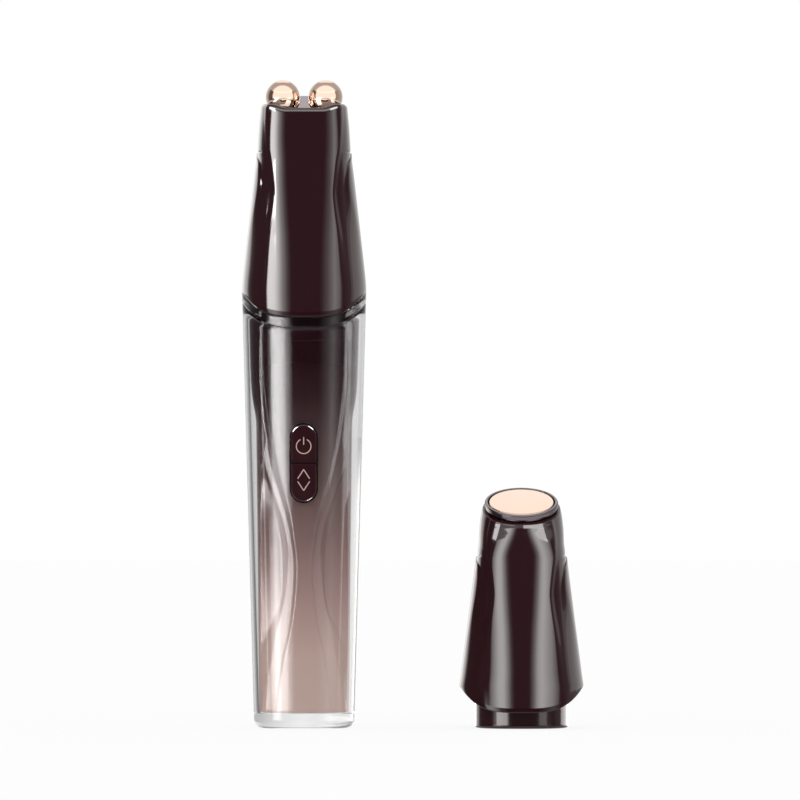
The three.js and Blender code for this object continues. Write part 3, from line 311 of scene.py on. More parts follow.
class Wall:
    """Stacked rings of points that become one closed skin, with windows where they are opened."""

    def __init__(self, rings, hollow=False):
        self.rings = rings
        self.count = len(rings[0])
        self.points = [point for ring in rings for point in ring]
        self.quads = {}
        self.extra = []
        for row in range(len(rings) - 1):
            for column in range(self.count):
                after = (column + 1) % self.count
                low, high = row * self.count, (row + 1) * self.count
                self.quads[row, column] = (low + column, low + after, high + after, high + column)
        last = (len(rings) - 1) * self.count
        if hollow:
            self.bridge(range(last, last + self.count), range(self.count))
        else:
            self.close(range(self.count))
            self.close(range(last, last + self.count))

    def close(self, loop):
        """Fills a loop with triangles that meet in its middle."""
        loop = list(loop)
        middle = [sum(self.points[i][axis] for i in loop) / len(loop) for axis in range(3)]
        self.points.append(tuple(middle))
        top = len(self.points) - 1
        for here, after in zip(loop, loop[1:] + loop[:1]):
            self.extra.append((here, after, top))

    def window(self, rows, columns, outline, surface, steps=5):
        """Opens a block of quads down to an outline in front view, and returns the outline's loop."""
        first_row, last_row = rows
        first, last = columns
        for row in range(first_row, last_row):
            for column in range(first, last):
                del self.quads[row, column % self.count]
        border = [(first_row, column) for column in range(first, last)]
        border += [(row, last) for row in range(first_row, last_row)]
        border += [(last_row, column) for column in range(last, first, -1)]
        border += [(row, first) for row in range(last_row, first_row, -1)]
        loop = [row * self.count + column % self.count for row, column in border]
        start = [self.points[i] for i in loop]
        for step in range(1, steps + 1):
            ring = []
            for x, _, z in start:
                end_x, end_z = outline(x, z)
                here_x = mix(x, end_x, step / steps)
                here_z = mix(z, end_z, step / steps)
                ring.append((here_x, surface(here_x, here_z), here_z))
            loop = self.join(loop, ring)
        return loop

    def join(self, loop, ring):
        """Adds a ring of points and joins it to a loop of the same count."""
        start = len(self.points)
        self.points.extend(ring)
        fresh = list(range(start, start + len(ring)))
        self.bridge(loop, fresh)
        return fresh

    def bridge(self, loop, other):
        for i, here in enumerate(loop):
            after = (i + 1) % len(loop)
            self.extra.append((here, loop[after], other[after], other[i]))

    def mesh(self, name):
        mesh = bpy.data.meshes.new(name)
        mesh.from_pydata(self.points, [], list(self.quads.values()) + self.extra)
        return finish_mesh(mesh)


def finish_mesh(mesh, crease=30):
    """The mesh, smooth but for its creases, with doubled points joined and every face turned outward."""
    shape = bmesh.new()
    shape.from_mesh(mesh)
    bmesh.ops.remove_doubles(shape, verts=shape.verts, dist=0.0005 * MM)
    bmesh.ops.recalc_face_normals(shape, faces=shape.faces)
    for face in shape.faces:
        face.smooth = True
    shape.to_mesh(mesh)
    shape.free()
    mesh.set_sharp_from_angle(angle=math.radians(crease))
    return mesh


def pill(centre, half_x, half_z):
    """An outline with two round ends: gives the point of it that is nearest to a place."""
    radius = min(half_x, half_z)

    def nearest(x, z):
        spine_x = max(-(half_x - radius), min(half_x - radius, x))
        spine_z = max(-(half_z - radius), min(half_z - radius, z - centre))
        out_x, out_z = x - spine_x, z - centre - spine_z
        reach = radius / max(math.hypot(out_x, out_z), 1e-9)
        return spine_x + out_x * reach, centre + spine_z + out_z * reach

    return nearest


key_outline = pill(KEY_CENTRE, KEY_HALF_WIDTH + SEAT_GAP, KEY_HALF_HEIGHT + SEAT_GAP)
port_outline = pill(PORT_CENTRE, PORT_HALF_WIDTH + SEAT_GAP, PORT_HALF_HEIGHT + SEAT_GAP)
KEY_REACH = KEY_HALF_HEIGHT + KEY_MARGIN
PORT_REACH = PORT_HALF_HEIGHT + PORT_MARGIN
KEY_ROWS = evenly(KEY_CENTRE - KEY_REACH, KEY_CENTRE + KEY_REACH, 16)
PORT_ROWS = evenly(PORT_CENTRE - PORT_REACH, PORT_CENTRE + PORT_REACH, 6)
KEY_COLUMNS = (FRONT_COLUMN - 12, FRONT_COLUMN + 12)
PORT_COLUMNS = (REAR_COLUMN - 15, REAR_COLUMN + 15)


def wand_surface(inset, side):
    """The depth of the wand's skin, some way inside it, at a place in front view."""
    def surface(x, z):
        half = wand_half_width(z)
        return side * section_depth(half - inset, DEPTH_SHARE * half - inset, x)
    return surface


def nearest_row(rings, height):
    """The row whose ring lies at a height, where that ring is level."""
    return min(range(len(rings)), key=lambda row: abs(rings[row][0][2] - height))


def open_through(wall, outer, inner, opening, outside, inside):
    """Opens one window through both skins of a wall whose inner rings come last, from the top down."""
    outline, rows, columns = opening
    start = len(wall.rings) - len(inner)
    low, high = nearest_row(outer, rows[0]), nearest_row(outer, rows[-1])
    front = wall.window((low, high), columns, outline, outside)
    low, high = start + nearest_row(inner, rows[-1]), start + nearest_row(inner, rows[0])
    back = wall.window((low, high), columns, outline, inside)
    wall.bridge(front, matched(wall.points, front, back))


def matched(points, loop, other):
    """The other loop turned and, if need be, reversed, so that its points lie beside the loop's."""
    def apart(a, b):
        return math.dist(points[a][::2], points[b][::2])

    turns = [order[start:] + order[:start] for order in (other, other[::-1]) for start in range(len(order))]
    return min(turns, key=lambda turned: sum(apart(a, b) for a, b in zip(loop[::9], turned[::9])))


def rounded(edge, steps):
    """Pairs of pull and drop round a small quarter arc, from its flat side to its upright side."""
    turns = [math.radians(90 * i / steps) for i in range(steps + 1)]
    return [(edge * (1 - math.sin(turn)), edge * (1 - math.cos(turn))) for turn in turns]


def sleeve_mesh():
    top = SEAM_HEIGHT - COLLAR_HEIGHT - SEAT_GAP
    heights = [5 * MM, *PORT_ROWS, 14 * MM, 20 * MM, 27 * MM, 34 * MM, 41 * MM, 47 * MM, *KEY_ROWS]
    outer = [wand_ring(FOOT_EDGE + share * 9 * MM, 0) for share in (0.8, 0.5, 0.2)]
    outer += [wand_ring(pulled, rise) for pulled, rise in rounded(FOOT_EDGE, 6)]
    outer += [wand_ring(0, height) for height in heights if height > FOOT_EDGE]
    steps = [i / 12 for i in range(1, 12)]
    upper = [(mix(80 * MM, top, step), step ** 2) for step in steps]
    outer += [wand_ring(0, height, share) for height, share in upper]
    rim = [(pulled, top - drop) for pulled, drop in reversed(rounded(RIM_EDGE, 3))]
    rim += [(SLEEVE_WALL - inset, height) for inset, height in reversed(rim)]
    inner = [wand_ring(SLEEVE_WALL, height, share) for height, share in reversed(upper)]
    inner += [wand_ring(SLEEVE_WALL, height) for height in reversed(heights)]
    inner += [wand_ring(SLEEVE_WALL + 0.1 * MM, BLOCK_THICKNESS + 0.1 * MM)]
    inner += [wand_ring(SLEEVE_WALL + share * 10 * MM, BLOCK_THICKNESS) for share in (0.04, 0.3, 0.6, 0.85)]
    rings = outer + [wand_ring(inset, height, 1) for inset, height in rim] + inner
    wall = Wall(rings)
    key, port = (key_outline, KEY_ROWS, KEY_COLUMNS), (port_outline, PORT_ROWS, PORT_COLUMNS)
    for opening, side in ((key, -1), (port, 1)):
        open_through(wall, outer, inner, opening, wand_surface(0, side), wand_surface(SLEEVE_WALL, side))
    return wall.mesh("sleeve_clear")


def shader_group(name, inputs, outputs):
    """An empty shader group with named number or colour sockets."""
    group = bpy.data.node_groups.new(name, "ShaderNodeTree")
    for label, value in inputs.items():
        kind = "NodeSocketColor" if isinstance(value, tuple) else "NodeSocketFloat"
        socket = group.interface.new_socket(label, in_out="INPUT", socket_type=kind)
        socket.default_value = value
    for label, kind in outputs.items():
        group.interface.new_socket(label, in_out="OUTPUT", socket_type=kind)
    return group, group.nodes.new("NodeGroupInput"), group.nodes.new("NodeGroupOutput")


def polished_surface_group():
    """What a polished moulding shows close up: cloudy roughness, fine rubs and a faint waviness."""
    inputs = {"Roughness": 0.05, "Spread": 0.02, "Cloud Scale": 90.0, "Rub Scale": 900.0, "Wave Scale": 60.0}
    outputs = {"Roughness": "NodeSocketFloat", "Height": "NodeSocketFloat"}
    group, given, result = shader_group("polished_surface", inputs, outputs)
    nodes, links = group.nodes, group.links
    place = nodes.new("ShaderNodeTexCoord")
    cloud, rub, wave = (nodes.new("ShaderNodeTexNoise") for _ in range(3))
    for noise, label, detail in ((cloud, "Cloud Scale", 3), (rub, "Rub Scale", 5), (wave, "Wave Scale", 1)):
        noise.inputs["Detail"].default_value = detail
        links.new(place.outputs["Object"], noise.inputs["Vector"])
        links.new(given.outputs[label], noise.inputs["Scale"])
    both = math_node(nodes, links, "MULTIPLY", cloud.outputs["Fac"], rub.outputs["Fac"])
    spread = math_node(nodes, links, "MULTIPLY", both, given.outputs["Spread"])
    total = math_node(nodes, links, "ADD", given.outputs["Roughness"], spread)
    links.new(total, result.inputs["Roughness"])
    links.new(wave.outputs["Fac"], result.inputs["Height"])
    return group


def uneven_tone_group():
    """A colour that drifts a little from place to place, as in any dyed, cast or plated surface."""
    inputs = {"Light": (1.0, 1.0, 1.0, 1.0), "Deep": (0.5, 0.5, 0.5, 1.0), "Scale": 120.0}
    group, given, result = shader_group("uneven_tone", inputs, {"Color": "NodeSocketColor"})
    nodes, links = group.nodes, group.links
    place = nodes.new("ShaderNodeTexCoord")
    drift = nodes.new("ShaderNodeTexNoise")
    blend = nodes.new("ShaderNodeMix")
    blend.data_type = "RGBA"
    drift.inputs["Detail"].default_value = 4
    links.new(place.outputs["Object"], drift.inputs["Vector"])
    links.new(given.outputs["Scale"], drift.inputs["Scale"])
    links.new(drift.outputs["Fac"], blend.inputs[0])
    links.new(given.outputs["Light"], blend.inputs[6])
    links.new(given.outputs["Deep"], blend.inputs[7])
    links.new(blend.outputs[2], result.inputs["Color"])
    return group


polished_surface = polished_surface_group()
uneven_tone = uneven_tone_group()


def tone(nodes, links, shader, colour, drift=0.12, scale=120.0):
    """Gives a material its colour, which drifts by a share of itself."""
    colours = nodes.new("ShaderNodeGroup")
    colours.node_tree = uneven_tone
    colours.inputs["Light"].default_value = (*(min(1, part * (1 + drift)) for part in colour), 1)
    colours.inputs["Deep"].default_value = (*(part * (1 - drift) for part in colour), 1)
    colours.inputs["Scale"].default_value = scale
    links.new(colours.outputs["Color"], shader.inputs["Base Color"])


def polish(nodes, links, shader, roughness, spread, wave=0.0, **scales):
    """Places the polished surface in a material, with its own roughness and waviness."""
    surface = nodes.new("ShaderNodeGroup")
    surface.node_tree = polished_surface
    surface.inputs["Roughness"].default_value = roughness
    surface.inputs["Spread"].default_value = spread
    for label, value in scales.items():
        surface.inputs[label.replace("_", " ").title()].default_value = value
    links.new(surface.outputs["Roughness"], shader.inputs["Roughness"])
    if wave:
        bump = nodes.new("ShaderNodeBump")
        bump.inputs["Strength"].default_value = 1
        bump.inputs["Distance"].default_value = wave
        links.new(surface.outputs["Height"], bump.inputs["Height"])
        links.new(bump.outputs[0], shader.inputs["Normal"])


def clear_material(name, tint, roughness, ior):
    """Clear acrylic. Light for what is inside passes straight through it."""
    material, nodes, links, acrylic = new_material(name)
    tone(nodes, links, acrylic, tint, 0.012, 40.0)
    acrylic.inputs["Transmission Weight"].default_value = 1
    acrylic.inputs["IOR"].default_value = ior
    polish(nodes, links, acrylic, roughness, 0.01)
    straight = nodes.new("ShaderNodeBsdfTransparent")
    straight.inputs["Color"].default_value = (*tint, 1)
    path = nodes.new("ShaderNodeLightPath")
    either = math_node(nodes, links, "MAXIMUM", path.outputs["Is Shadow Ray"], path.outputs["Is Diffuse Ray"])
    mixed_surface(nodes, links, either, acrylic, straight)
    return material


def add_piece(name, mesh, material, body, slot, *nodes):
    """Puts a finished piece in its place: its material, the body it rides on and what it stands for."""
    piece = new_object(name, mesh)
    mesh.materials.append(material)
    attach(piece, body)
    if nodes:
        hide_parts(*nodes)


clear_acrylic = clear_material("clear_acrylic", (0.975, 0.972, 0.972), 0.0, 1.36)
add_piece("sleeve_clear", sleeve_mesh(), clear_acrylic, "handle", "clear_sleeve", "outer_sleeve")

# The collar: a narrow smoky acrylic band that caps the sleeve and carries the line of the head's seam.
# It follows the saddle of the seam and sits between the sleeve's rim and the head.
COLLAR_GAP = 0.13 * MM
COLLAR_EDGE = 0.14 * MM


def collar_mesh():
    """A thin band that follows the seam, with its four edges rounded."""
    foot, top = SEAM_HEIGHT - COLLAR_HEIGHT - SEAT_GAP + COLLAR_GAP, SEAM_HEIGHT - COLLAR_GAP
    corners = [(0, COLLAR_EDGE * 1.3), *reversed(rounded(COLLAR_EDGE, 3))]
    path = [(pulled, top - drop) for pulled, drop in corners]
    path += [(SLEEVE_WALL - pulled, top - drop) for pulled, drop in reversed(corners)]
    path += [(SLEEVE_WALL - pulled, foot + drop) for pulled, drop in corners]
    path += [(pulled, foot + drop) for pulled, drop in reversed(corners)]
    rings = [wand_ring(depth, height, 1) for depth, height in path]
    return Wall(rings, hollow=True).mesh("collar_smoke")


smoke_acrylic = clear_material("smoke_acrylic", (0.72, 0.7, 0.71), 0.01, 1.4)
add_piece("collar_smoke", collar_mesh(), smoke_acrylic, "handle", "smoke_ring", "collar_ring")

# The core: two glossy lacquered half shells, wine dark at the top and fading to rose beige at the foot.
# A ridge runs down the front and the back, narrowest at the waist, between slanted facets and scoops.
CORE_FOOT = 4.0 * MM
CORE_TOP = 96.68 * MM
CORE_GAP = 1.5 * MM
CORE_WALL = 1.4 * MM
CREASE_ROUND = 0.2 * MM
RIDGE = [(4, 6.6), (8, 6.3), (11.9, 5.75), (16, 5.1), (19.4, 4.5), (25.4, 3.1), (28.6, 2.7), (32.6, 2.2),
         (38.1, 1.8), (42.9, 1.9), (46.6, 2.4), (51.9, 3.2), (57.4, 4.4), (61.9, 5.65), (66, 6.55), (71, 7.6),
         (76, 8.45), (80, 9.0), (85, 9.6), (90, 9.9), (96.6, 10.0)]
CHAMFER_WIDTH = [(4, 0.3), (20, 0.4), (38, 0.5), (50, 0.7), (56, 0.95), (61, 1.15), (66, 1.25), (71, 1.15),
                 (76, 1.0), (80, 0.9), (85, 0.75), (90, 0.6), (96.6, 0.5)]
CHAMFER_DROP = [(4, 0.2), (12, 0.35), (20, 0.6), (38, 0.9), (50, 1.1), (61, 1.3), (66, 1.35), (71, 1.25),
                (76, 1.1), (80, 1.0), (85, 0.8), (90, 0.6), (96.6, 0.5)]
FACET_END = [(4, 9.4), (11.9, 8.85), (19.4, 7.6), (28.6, 5.8), (33, 5.0), (37.3, 4.6), (40.1, 4.25),
             (45.4, 4.1), (50.8, 5.0), (54.4, 6.05), (58, 7.3), (61.9, 8.55), (64.6, 9.3), (68.6, 9.95),
             (71.4, 9.25), (73, 9.35), (76, 9.85), (80, 10.3), (85, 10.6), (90, 10.7), (96.6, 10.75)]
FLANK = [(4, 10.6), (69.6, 10.6), (76, 10.9), (84, 11.4), (96.6, 12.2)]
SIDE = [(4, 11.3), (76, 12.1), (78, 12.3), (81.4, 12.9), (84.9, 13.3), (89, 13.5), (96.6, 13.72)]
FACET_SLOPE = 0.404
SCOOP_WALL = [(4, 0.3), (30, 0.3), (37.3, 0.45), (40.1, 1.05), (45.4, 1.4), (50.8, 1.4), (54.4, 0.95),
              (58, 0.6), (62, 0.4), (70, 0.3), (96.6, 0.3)]
SCOOP_DEPTH = 2.2 * MM
SCOOP_FOOT = 23.4 * MM
SCOOP_FOOT_SLOPE = 2.19
SCOOP_FOOT_PLACE = 7.8 * MM
SCOOP_FOOT_EASE = 2.5 * MM
SCOOP_TOP = 70 * MM
SCOOP_TOP_EASE = 25 * MM
SPANS = (14, 4, 9, 4, 11, 14)


def along(table, height):
    """A measured width at a height, eased between the heights it was measured at."""
    height = height / MM
    if height <= table[0][0]:
        return table[0][1] * MM
    places = [place for place, _ in table]
    widths = [width for _, width in table]
    after = next((i for i, place in enumerate(places) if place >= height), len(places) - 1)
    before = after - 1
    step = places[after] - places[before]
    share = min(1, (height - places[before]) / step)

    def slope(i):
        low, high = max(0, i - 1), min(len(places) - 1, i + 1)
        return (widths[high] - widths[low]) / (places[high] - places[low])

    start, end = slope(before) * step, slope(after) * step
    rise = widths[after] - widths[before]
    bend = share * (1 - share) * ((1 - share) * (start - rise) - share * (end - rise))
    return (widths[before] + rise * share + bend) * MM


def spread(start, end, count):
    """Places from start up to end: even, but with one close to each end so that creases stay tight."""
    tight = min(CREASE_ROUND, (end - start) / count)
    inner = [mix(start + tight, end - tight, i / (count - 2)) for i in range(count - 1)]
    return [start, *inner]


def core_quarter(height):
    """Across a quarter of the core at a height: places over the width, and the depth at each."""
    half = wand_half_width(height)
    half_x, half_y = half - CORE_GAP, DEPTH_SHARE * half - CORE_GAP
    side = along(SIDE, height)
    ridge = along(RIDGE, height)
    chamfer = ridge + along(CHAMFER_WIDTH, height)
    facet = max(along(FACET_END, height), chamfer + 0.3 * MM)
    wall = along(SCOOP_WALL, height)
    scoop = facet + wall
    flank = max(along(FLANK, height), scoop + 0.3 * MM)
    ridge_y = section_depth(half_x, half_y, ridge)
    chamfer_y = ridge_y - along(CHAMFER_DROP, height)
    facet_y = chamfer_y - FACET_SLOPE * (facet - chamfer)
    flank_y = min(section_depth(max(side, half_x * 0.98), half_y, flank), facet_y - 0.2 * MM)
    depth = SCOOP_DEPTH * smooth((SCOOP_TOP - height) / SCOOP_TOP_EASE)
    points = [(x, section_depth(half_x, half_y, x)) for x in spread(0, ridge, SPANS[0])]
    edges = [(ridge, ridge_y), (chamfer, chamfer_y), (facet, facet_y)]
    for (x0, y0), (x1, y1), count in zip(edges, edges[1:], SPANS[1:]):
        points += [(x, mix(y0, y1, (x - x0) / (x1 - x0))) for x in spread(x0, x1, count)]
    for start, end, count in ((facet, scoop, SPANS[3]), (scoop, flank, SPANS[4])):
        for x in spread(start, end, count):
            full = mix(facet_y, flank_y, (x - facet) / (flank - facet))
            foot = SCOOP_FOOT - SCOOP_FOOT_SLOPE * (x - SCOOP_FOOT_PLACE)
            sunk = depth * smooth((height - foot) / SCOOP_FOOT_EASE)
            into = smooth((x - facet) / wall)
            back = 1 - max(0, (x - scoop) / (flank - scoop))
            points.append((x, full - sunk * into * back))
    swing = math.acos(min(1, (flank / side) ** (SQUARENESS / 2)))
    at_flank = half_y * math.sin(swing) ** (2 / SQUARENESS)
    for place in spread(0, 1, SPANS[5]):
        angle = swing * (1 - place)
        x = side * math.cos(angle) ** (2 / SQUARENESS)
        y = half_y * math.sin(angle) ** (2 / SQUARENESS) * mix(flank_y / at_flank, 1, place)
        points.append((x, y))
    return points + [(side, 0.0)]


def core_ring(height, pulled=0.0):
    """One full ring of the core, its creases softened; pulled inward where an edge is rounded."""
    quarter = core_quarter(height)
    right_rear = quarter[::-1]
    left_rear = [(-x, y) for x, y in quarter[1:]]
    left_front = [(-x, -y) for x, y in quarter[-2::-1]]
    right_front = [(x, -y) for x, y in quarter[1:-1]]
    ring = right_rear + left_rear + left_front + right_front
    for _ in range(2):
        ring = [tuple(0.25 * ring[i - 1][axis] + 0.5 * ring[i][axis] + 0.25 * ring[(i + 1) % len(ring)][axis]
                      for axis in (0, 1)) for i in range(len(ring))]
    side, deep = along(SIDE, height), DEPTH_SHARE * wand_half_width(height) - CORE_GAP
    return [(x * (1 - pulled / side), y * (1 - pulled / deep), height) for x, y in ring]


def core_surface(pulled, side):
    """The depth of the core's front or rear panel at a place in front view."""
    def surface(x, z):
        half = wand_half_width(z)
        deep = DEPTH_SHARE * half - CORE_GAP
        shrink = 1 - pulled / along(SIDE, z)
        return side * section_depth(half - CORE_GAP, deep, x / shrink) * (1 - pulled / deep)
    return surface


def core_mesh():
    edge = 0.35 * MM
    key_reach = KEY_HALF_HEIGHT + 2.4 * MM
    key_rows = evenly(KEY_CENTRE - key_reach, KEY_CENTRE + key_reach, 20)
    port_rows = evenly(PORT_CENTRE - 2.7 * MM, PORT_CENTRE + 2.7 * MM, 6)
    heights = [*port_rows, *evenly(12.2 * MM, 53.2 * MM, 44), *key_rows]
    heights += evenly(79.2 * MM, CORE_TOP - edge, 16)
    outer = [core_ring(CORE_FOOT, edge + share * 9 * MM) for share in (0.8, 0.5, 0.2)]
    outer += [core_ring(CORE_FOOT + rise, pulled) for pulled, rise in rounded(edge, 3)]
    outer += [core_ring(5 * MM)] + [core_ring(height) for height in heights]
    hairline = edge * 0.1
    rim = [core_ring(CORE_TOP - hairline), core_ring(CORE_TOP, hairline)]
    inner = [core_ring(CORE_TOP, CORE_WALL)]
    inner += [core_ring(height, CORE_WALL) for height in reversed(heights)]
    inner += [core_ring(5.5 * MM, CORE_WALL + share * 8 * MM) for share in (0, 0.3, 0.6, 0.9)]
    wall = Wall(outer + rim + inner)
    front = 3 * (wall.count // 4)
    rear = wall.count // 4
    key = (key_outline, key_rows, (front - 11, front + 11))
    port = (port_outline, port_rows, (rear - 12, rear + 12))
    for opening, side in ((key, -1), (port, 1)):
        open_through(wall, outer, inner, opening, core_surface(0, side), core_surface(CORE_WALL, side))
    return wall.mesh("core_skin")


def faded_lacquer():
    """Glossy lacquer whose colour fades from wine at the top to rose beige at the foot."""
    fade = [(4, (0.60, 0.45, 0.40)), (18, (0.56, 0.41, 0.36)), (32, (0.40, 0.27, 0.25)),
            (47, (0.235, 0.15, 0.14)), (62, (0.115, 0.072, 0.068)), (75, (0.06, 0.033, 0.034)),
            (83, (0.03, 0.012, 0.014)), (92, (0.016, 0.002, 0.005)), (110, (0.014, 0.0015, 0.004))]
    material, nodes, links, lacquer = new_material("faded_lacquer")
    place = nodes.new("ShaderNodeTexCoord")
    axes = nodes.new("ShaderNodeSeparateXYZ")
    foot, top = fade[0][0], fade[-1][0]
    links.new(place.outputs["Object"], axes.inputs[0])
    share = map_range(nodes, links, axes.outputs["Z"], foot * MM, top * MM, False)
    stops = [((height - foot) / (top - foot), colour) for height, colour in fade]
    links.new(colour_ramp(nodes, links, share, stops), lacquer.inputs["Base Color"])
    lacquer.inputs["IOR"].default_value = 1.38
    polish(nodes, links, lacquer, 0.1, 0.08)
    return material


core_lacquer = faded_lacquer()
add_piece("core_skin", core_mesh(), core_lacquer, "handle", "core", "core_front_shell", "core_rear_shell")

# The head socket: the same lacquered skin carried on above the core, a cup that takes the head's plug.
# It is fixed on top of the core inside the sleeve, and its rim ends just under the head.
SOCKET_FOOT = 96.7 * MM
SOCKET_FLOOR = 98.2 * MM
SOCKET_BORE = 12.0 * MM


def socket_mesh():
    edge, hairline = 0.3 * MM, 0.03 * MM
    rings = [wand_ring(CORE_GAP + share * 10 * MM, SOCKET_FOOT) for share in (0.8, 0.4, 0.15)]
    rings += [wand_ring(CORE_GAP + hairline, SOCKET_FOOT), wand_ring(CORE_GAP, SOCKET_FOOT + hairline)]
    top = SEAM_HEIGHT - SEAT_GAP
    rings += [wand_ring(CORE_GAP, mix(SOCKET_FOOT + edge, top - edge, i / 6), i / 6) for i in range(1, 6)]
    rings += [wand_ring(CORE_GAP + pulled, top - rise, 1) for pulled, rise in reversed(rounded(edge, 3))]

    def bore(height, share, shrink=1.0):
        ring = []
        for column in range(COLUMNS):
            x, y = section(SOCKET_BORE * shrink, (DEPTH_SHARE * (SOCKET_BORE - SEAT_GAP) + SEAT_GAP) * shrink,
                           2 * math.pi * column / COLUMNS)
            ring.append((x, y, height + share * seam_rise(x)))
        return ring

    rings += [bore(mix(top, SOCKET_FLOOR, i / 5), 1 - i / 5) for i in range(6)]
    rings += [bore(SOCKET_FLOOR, 0, shrink) for shrink in (0.98, 0.6, 0.3)]
    return Wall(rings).mesh("head_socket_skin")


add_piece("head_socket_skin", socket_mesh(), core_lacquer, "handle", "core", "head_socket")

# Both push-on heads: lacquered shells that widen down to the saddle seam, wine dark and very glossy.
# A waisted panel runs up the front and the back between two side petals that end in points at the kink.
HEAD_WALL = 1.6 * MM
ROLLER_PLACE = (0, 0, SEAM_HEIGHT)
DISC_PLACE = (54.3 * MM, 0, 10.6 * MM)
HEAD_SPANS = (13, 9, 12, 5, 21)
HEAD_SQUARENESS = [(-7, 2.35), (0, 2.35), (8, 2.4), (20, 2.75), (30, 3.1), (36, 3.3), (47, 3.5)]
VALLEY = [(0, 0.0), (6, 0.08), (12, 0.3), (18, 0.48), (24, 0.54), (30, 0.4), (34.5, 0.28), (38, 0.3),
          (48, 0.3)]
PETAL = [(0, 43.5), (4, 44), (10, 45), (16, 45.7), (22, 46), (26.5, 46.8), (30, 51.4), (32.5, 58.5),
         (34.6, 88)]
PETAL_BLEND = [(0, 34), (10, 30), (18, 20), (24, 11), (28, 7.5), (34.6, 5)]
PANEL_EDGE = [(-3, 34), (6, 34), (14, 33), (20, 30.5), (24.5, 29.5), (28, 31.5), (31, 34), (36, 39),
              (43.3, 44), (47, 45)]
PANEL_BLEND = 9
PETAL_START = 50
PETAL_EASE = 14
NOTCH_DEPTH = 0.16 * MM
NOTCH_REACH = 0.45 * MM
ROLLER_SIDE = [(0, 15.55), (2.75, 15.4), (5.75, 15.08), (8.75, 14.75), (11.75, 14.41), (14.75, 14.07),
               (17.75, 13.73), (20.75, 13.38), (23.75, 13.04), (26.75, 12.7), (29.75, 12.34), (32.75, 11.97),
               (35.75, 11.86), (38.75, 11.72), (41.75, 11.5), (44.75, 11.2), (46.7, 11.05)]
ROLLER_DEPTH = [(-7, 14.14), (0, 14.16), (4, 13.93), (10, 13.36), (20, 12.3), (30, 11.24), (34.6, 10.82),
                (38, 10.64), (46.7, 10.45)]
DISC_SIDE = [(0, 15.55), (2.75, 15.15), (5.75, 14.76), (8.75, 14.37), (11.75, 13.98), (14.75, 13.58),
             (17.75, 13.2), (20.75, 12.82), (23.75, 12.44), (26.75, 12.05), (29.75, 11.68), (32.0, 11.4),
             (32.6, 11.25), (34.0, 11.15), (35.75, 10.95), (38.75, 10.85), (40.25, 10.7), (42.25, 10.45),
             (44.07, 10.05)]
DISC_DEPTH = [(-7, 14.29), (0, 14.16), (4, 13.93), (10, 13.25), (20, 12.1), (28, 11.2), (32.4, 10.8),
              (38, 10.3), (44.07, 9.3)]
ROLLER_KINK = 34.6 * MM
DISC_KINK = 32.4 * MM
ROLLER_TOP = 46.7 * MM
ROLLER_CEILING = 42.3 * MM
TOP_DIP = 1.1 * MM
TOP_DIP_HALF_WIDTH = 4.8 * MM
TOP_DIP_EASE = 4.6 * MM
DISC_CENTRE = 45.8 * MM
DISC_SEAT = -1.6 * MM
DISC_DECK = -4.8 * MM
DISC_BORE = 7.2 * MM
DISC_TILT = math.radians(22.6)
SEAT_LEVEL = DISC_CENTRE + DISC_SEAT / math.cos(DISC_TILT)
DISC_FRAME = Matrix.Translation((0, 0, DISC_CENTRE)) @ Matrix.Rotation(DISC_TILT, 4, "X")


def mirrored(quarter):
    """A full ring from the points of its rear right quarter, which run from the middle to the side."""
    ring = list(quarter[::-1])
    ring += [(-x, y, z) for x, y, z in quarter[1:]]
    ring += [(-x, -y, z) for x, y, z in quarter[-2::-1]]
    ring += [(x, -y, z) for x, y, z in quarter[1:-1]]
    return ring


def eased(table, height, kink):
    """A value measured on the roller head, at the matching height of a head with its own kink."""
    return along(table, height * ROLLER_KINK / kink) / MM


def head_angles(height, kink):
    """Angles round a quarter of a head, gathered where the panel and the petal have their edges."""
    panel = eased(PANEL_EDGE, height, kink)
    petal = min(eased(PETAL, height, kink), 82)
    blend = min(eased(PETAL_BLEND, height, kink), 6)
    marks = (0, panel, min(panel + PANEL_BLEND, petal - 2), petal, petal + blend, 90)
    angles = []
    for start, end, count in zip(marks, marks[1:], HEAD_SPANS):
        angles += [mix(start, end, i / count) for i in range(count)]
    return [*angles, 90]


def head_ring(side_table, depth_table, kink, height, share=0.0, inset=0.0, fluted=True, squareness=None):
    """One ring of a head's skin at a height over its seam, its valleys pressed in between the edges."""
    quarter = []
    squareness = squareness or eased(HEAD_SQUARENESS, height, kink)
    for angle in head_angles(height, kink):
        turn = math.radians(angle)
        reach = (math.sin(turn) ** squareness + math.cos(turn) ** squareness) ** (-1 / squareness)
        z = height
        for _ in range(3):
            half_x = along(side_table, z) if z > 0 else wand_half_width(SEAM_HEIGHT + z)
            half_y = along(depth_table, z)
            x = (half_x - inset) * reach * math.sin(turn)
            y = (half_y - inset) * reach * math.cos(turn)
            z = height + share * seam_rise(x)
        if fluted and z > 0:
            rise = smooth((angle - eased(PANEL_EDGE, z, kink)) / PANEL_BLEND)
            fall = smooth((angle - eased(PETAL, z, kink)) / eased(PETAL_BLEND, z, kink)) if z < kink else 0
            depth = eased(VALLEY, z, kink) * MM * rise * (1 - fall)
            notch = NOTCH_DEPTH * smooth(1 - abs(z - kink) / NOTCH_REACH)
            notch *= smooth((angle - PETAL_START) / PETAL_EASE)
            pulled = 1 - (depth + notch) / math.hypot(x, y)
            x, y = x * pulled, y * pulled
        quarter.append((x, y, z))
    return mirrored(quarter)


